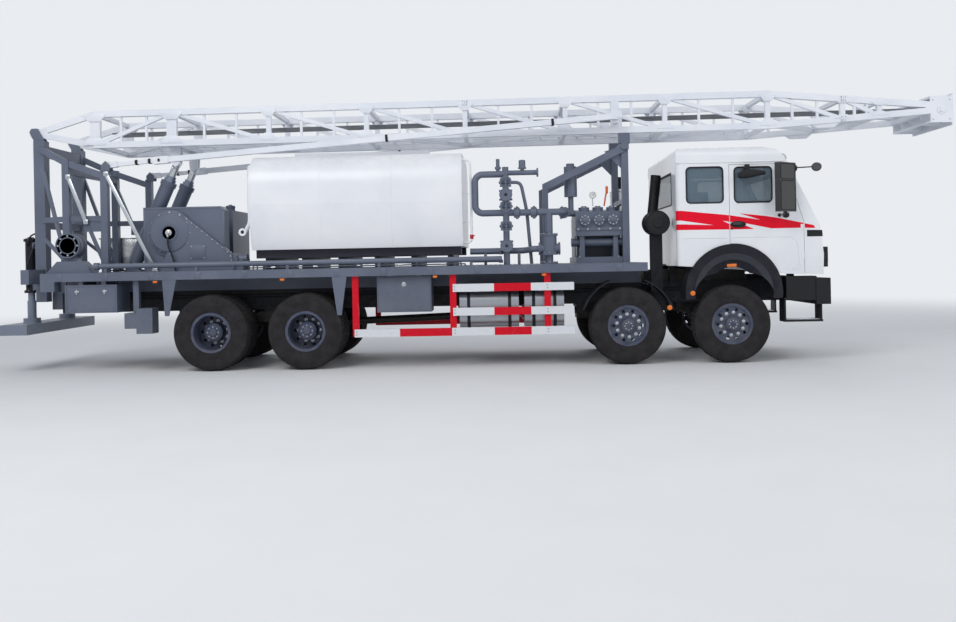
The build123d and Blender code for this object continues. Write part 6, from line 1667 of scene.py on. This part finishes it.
# The fuel tank's section: its middle, half its width and height, and its corner's radius.
FUEL_Y, FUEL_Z, FUEL_HALF_WIDE, FUEL_HALF_HIGH, FUEL_CORNER = 0.820, 0.800, 0.282, 0.252, 0.110
FUEL_CAP = ((0, 0.050), (0.012, 0.050), (0.014, 0.044), (0.030, 0.042), (0.034, 0.034), (0.034, 0))
FRONT_BOX_Y, REAR_BOX_Y = 1.140, 1.200
# Door openings of the tool boxes: rear, bottom, front and top.
FRONT_BOX_DOOR, REAR_BOX_DOOR = (-1.43, 0.81, -0.69, 1.28), (-5.87, 0.885, -5.17, 1.235)
ROUND_LATCH = ((0, 0.035), (0.006, 0.034), (0.008, 0.026), (0.016, 0.022), (0.018, 0))


def strap_section(side):
    """Points round a fuel tank's rounded section, as (across, height)."""
    points = []
    for quarter, (out, up) in enumerate(((1, 1), (-1, 1), (-1, -1), (1, -1))):
        y = side * FUEL_Y + out * (FUEL_HALF_WIDE - FUEL_CORNER)
        z = FUEL_Z + up * (FUEL_HALF_HIGH - FUEL_CORNER)
        for at in range(5):
            turn = radians(90 * quarter + 22.5 * at)
            points.append((y + FUEL_CORNER * cos(turn), z + FUEL_CORNER * sin(turn)))
    return points


straps, caps = Stock(), Stock()
for _, side in SIDES:
    ring = strap_section(side)
    for low, high in TANK_SPANS:
        for x in (low + 0.13, high - 0.13):
            for (y1, z1), (y2, z2) in zip(ring, ring[1:] + ring[:1]):
                straps.bar((x, y1, z1), (x, y2, z2), 0.045, 0.004, ACROSS, 0.001)
            straps.rod((x, side * 1.095, 0.83), (x, side * 1.095, 0.90), 0.007, 8)
        y = side * 0.93
        caps.turned(FUEL_CAP, (low + 0.24, y, 1.048), "Z", 24)
        caps.bar((low + 0.20, y, 1.082), (low + 0.28, y, 1.082), 0.012, 0.008)
straps.become("fuel_tank_straps", "root", chassis_paint, "chassis_black")
caps.become("fuel_tank_caps", "root", zinc)
latches, seams = Stock(), Stock()
for _, side in SIDES:
    for door, y in ((FRONT_BOX_DOOR, side * FRONT_BOX_Y), (REAR_BOX_DOOR, side * REAR_BOX_Y)):
        seams.pipe(loop_points(window_corners(door, y)), 0.006, 6, 3)
    latches.spun(ROUND_LATCH, (-1.06, side * FRONT_BOX_Y, 1.18), LEFT * side, ACROSS, 20)
    face = side * REAR_BOX_Y
    for x in (-5.72, -5.32):
        latches.block((x - 0.03, face, 1.15), (x + 0.03, face + side * 0.008, 1.18), 0.003)
        grip = (x - 0.010, face + side * 0.006, 1.12)
        latches.block(grip, (x + 0.010, face + side * 0.014, 1.19), 0.003)
seams.become("tool_box_door_folds", "root", machine_paint, "machine_grey")
latches.become("tool_box_latches", "root", zinc)
print("straps and latches made")

# %% [markdown]
# Along the deck's edge, small plates are welded at even steps. The side guards' rails are bolted
# to their posts by two bolts where a post crosses.

# %% Deck edge plates and guard bolts
EDGE_PLATES, EDGE_FIRST_X, EDGE_PITCH = 13, -5.95, 0.66
# A guard rail: its height, and its two ends.
GUARD_RAILS = ((1.065, -0.365, 1.335), (0.730, -0.365, 1.335), (0.450, -1.760, 1.338))
GUARD_POSTS = (-1.730, -0.343, 0.965)
edge, guard_bolts = Stock(), Stock()
for _, side in SIDES:
    for at in range(EDGE_PLATES):
        x = EDGE_FIRST_X + at * EDGE_PITCH
        edge.block((x - 0.04, side * 1.2495, 1.322), (x + 0.04, side * 1.2545, 1.418), 0.003)
    for z, low, high in GUARD_RAILS:
        for x in GUARD_POSTS:
            if low < x < high:
                places = [(x, side * 1.2255, z + lift) for lift in (0.035, 0.078)]
                guard_bolts.bolts(places, LEFT * side, 0.008, 0.006)
edge.become("deck_edge_plates", "root", machine_paint, "machine_grey")
guard_bolts.become("guard_bolts", "root", zinc)
print("guard bolts made")

# %% [markdown]
# Along the deck's right edge, in the low gap under the tank, three hydraulic lines lie in clamp
# blocks. Each goes down through the deck at both ends, and its couplings are the bright knots
# that show between the tank and the deck.

# %% Deck lines under the tank
LINE_Y, LINE_START, LINE_END, LINE_FOOT = -1.010, -3.30, -0.19, 1.428
LINE_HEIGHTS = (1.458, 1.488, 1.518)
COUPLING = ((-0.030, 0.010), (-0.030, 0.0145), (0.030, 0.0145), (0.030, 0.010))
deck_lines, couplings = Stock(), Stock()
for number, z in enumerate(LINE_HEIGHTS):
    low, high = LINE_START + number * 0.06, LINE_END - number * 0.06
    ends = [(low, LINE_FOOT), (low, z), (high, z), (high, LINE_FOOT)]
    deck_lines.pipe([(x, LINE_Y, height) for x, height in ends], 0.010, 10, 3)
    for at in range(5):
        x = -2.95 + at * 0.61 + number * 0.13
        couplings.turned(COUPLING, (x, LINE_Y, z), "X", 6)
for at in range(7):
    x = -3.08 + at * 0.44
    low = (x - 0.018, LINE_Y - 0.020, 1.4302)
    deck_lines.block(low, (x + 0.018, LINE_Y + 0.020, 1.534))
deck_lines.become("deck_hydraulic_lines", "root", machine_paint, "machine_grey")
couplings.become("deck_line_couplings", "root", zinc)
print("deck lines made")

# %% [markdown]
# Brake chambers, air tanks and air lines fill the space between the wheels. They are seen only
# as dark shapes, so each is a few turned parts and bent pipes with true sizes.

# %% Brake chambers, air tanks and lines
CHAMBER = ((-0.09, 0.03), (-0.085, 0.078), (-0.01, 0.082), (0, 0.090), (0.01, 0.082))
CHAMBER += ((0.07, 0.070), (0.08, 0.02))
AIR_TANK = ((0, 0.02), (0.02, 0.11), (0.05, 0.14), (0.60, 0.14), (0.63, 0.11), (0.65, 0.02))
under = Stock()
for _, x, steered in AXLES:
    reach, z = (0.60, 0.70) if steered else (0.42, 0.74)
    for _, side in SIDES:
        under.turned(CHAMBER, (x - 0.16, side * reach, z), "Y", 20)
for x in (-1.40, -0.50):
    under.turned(AIR_TANK, (x, 0.0, 0.98), "X", 24)
under.become("brake_chambers_and_air_tanks", "root", chassis_paint, "chassis_black")
lines = Stock()
for y, z in ((-0.445, 1.05), (-0.445, 1.01), (0.445, 1.05)):
    lines.pipe([(-5.9, y, z), (-2.0, y, z + 0.01), (0.5, y, z - 0.01), (3.1, y, z)], 0.009, 8)
lines.become("chassis_air_lines", "root", hose_cover)
print("underside dressed")

# %% [markdown]
# Behind the cab rises the silencer, a drum wrapped in bright sheet with end rings. The air
# cleaner lies beside it in its clamp bands, and its intake duct goes up with a ribbed sleeve.

# %% Silencer bands, air cleaner clamps and intake duct
SILENCER, CLEANER_X, CLEANER_Z, DUCT_Y = (2.25, 0.80), 2.565, 1.99, -0.30
SILENCER_BAND = ((-0.012, 0.150), (-0.012, 0.157), (0.012, 0.157), (0.012, 0.150))
SILENCER_SHEET = ((1.795, 0.148), (1.795, 0.1525), (2.555, 0.1525), (2.555, 0.148))
SILENCER_TOP = ((0, 0.150), (0.02, 0.140), (0.05, 0.100), (0.07, 0.066))
CLAMP = ((-0.010, 0.170), (-0.010, 0.176), (0.010, 0.176), (0.010, 0.170))
CLEANER_LID = ((0, 0.150), (-0.006, 0.148), (-0.012, 0.080), (-0.022, 0.070), (-0.022, 0))
DUCT_RIB = ((-0.006, 0.076), (0, 0.082), (0.006, 0.076))
bright = Stock()
for z in (1.83, 2.17, 2.50):
    bright.turned(SILENCER_BAND, (*SILENCER, z), "Z", 36)
bright.turned(SILENCER_TOP, (*SILENCER, 2.560), "Z", 36)
bright.turned(SILENCER_SHEET, (*SILENCER, 0), "Z", 48)
bright.become("silencer_bands", "root", stainless)
clamps = Stock()
for y in (-0.93, -0.77, -0.61):
    clamps.turned(CLAMP, (CLEANER_X, y, CLEANER_Z), "Y", 36)
clamps.turned(CLEANER_LID, (CLEANER_X, -0.980, CLEANER_Z), "Y", 30)
clamps.become("air_cleaner_bands", "root", black_moulding)
intake = Stock()
duct = [(CLEANER_X, -0.56, CLEANER_Z), (CLEANER_X, -0.38, CLEANER_Z)]
intake.pipe([*duct, (2.62, DUCT_Y, 2.35), (2.66, DUCT_Y, 2.72)], 0.075, 20, 3)
for at in range(8):
    intake.turned(DUCT_RIB, (2.635 + at * 0.0035, DUCT_Y, 2.42 + at * 0.03), "Z", 20)
intake.become("air_intake_duct", "root", black_moulding)
print("silencer and intake made")

# %% [markdown]
# A plain pale studio: a wide floor that takes the shadow, a world bright enough to open the
# shadows, and three large soft lamps. Far from the truck the floor turns into the background's
# own tone, so no horizon cuts the picture.

# %% Floor
BACKDROP = "#e9ecf0"
FADE_NEAR, FADE_FAR = 8, 24
FLOOR_HALF = 60
floor_finish, tree, place = new_finish("pale_floor_paint")
mottle = noise(tree, place, 900)
tone = blended(tree, mottle, linear("#eceded"), linear("#f2f2f3"))
skin = add(tree, "BsdfPrincipled", {"Base Color": tone, "Roughness": 0.9})
away = add(tree, "VectorMath", {0: place}, operation="LENGTH").outputs["Value"]
distances = {"Value": away, "From Min": FADE_NEAR, "From Max": FADE_FAR}
faded = add(tree, "MapRange", distances, interpolation_type="SMOOTHERSTEP")
haze = add(tree, "Emission", {"Color": linear(BACKDROP), "Strength": 1.0})
seen_floor = add(tree, "MixShader", {0: faded, 1: skin, 2: haze})
add(tree, "OutputMaterial", {"Surface": seen_floor})
sheet = bpy.data.meshes.new("studio_floor")
corners = [(x * FLOOR_HALF, y * FLOOR_HALF, 0) for x, y in ROUND_THE_PANE]
sheet.from_pydata(corners, [], [(0, 1, 2, 3)])
sheet.materials.append(floor_finish)
floor = bpy.data.objects.new("studio_floor", sheet)
bpy.context.scene.collection.objects.link(floor)
print("floor", FLOOR_HALF * 2, "m")

# %% [markdown]
# Metal and glass see the same pale background as the camera, which is what the ray tests in the
# world are for; the light on the truck stays lower.

# %% World and lamps
LAMPS = (
    ("key_lamp", (-7, -13, 12), 9, 1120),
    ("fill_lamp", (10, -10, 8), 10, 420),
    ("back_lamp", (2, 12, 12), 12, 520),
)
LIT_PLACE = Vector((0, 0, 1.5))
world = bpy.data.worlds.new("studio_sky")
bpy.context.scene.world = world
world.use_nodes = True
sky = world.node_tree
sky.nodes.clear()
soft_light = add(sky, "Background", {"Color": linear("#dde5f0"), "Strength": 0.45})
backdrop = add(sky, "Background", {"Color": linear(BACKDROP), "Strength": 1.0})
ray = add(sky, "LightPath", {})
seen = ray.outputs["Is Camera Ray"]
for kind in ("Is Glossy Ray", "Is Transmission Ray"):
    seen = worked_out(sky, "MAXIMUM", seen, ray.outputs[kind])
chosen = add(sky, "MixShader", {0: seen, 1: soft_light, 2: backdrop})
add(sky, "OutputWorld", {"Surface": chosen})
for name, place, size, watts in LAMPS:
    glow = bpy.data.lights.new(name, "AREA")
    glow.size = size
    glow.energy = watts
    lamp = bpy.data.objects.new(name, glow)
    lamp.location = place
    lamp.rotation_euler = (LIT_PLACE - Vector(place)).to_track_quat("-Z", "Y").to_euler()
    bpy.context.scene.collection.objects.link(lamp)
bpy.context.scene.view_settings.view_transform = "Standard"
print("lamps", [name for name, *_ in LAMPS])

# %% [markdown]
# The last cell prints how many pieces were added and how many faces they have.

# %% Sizes of the added pieces
print("pieces", len(made_pieces), "faces", sum(count for _, count in made_pieces))
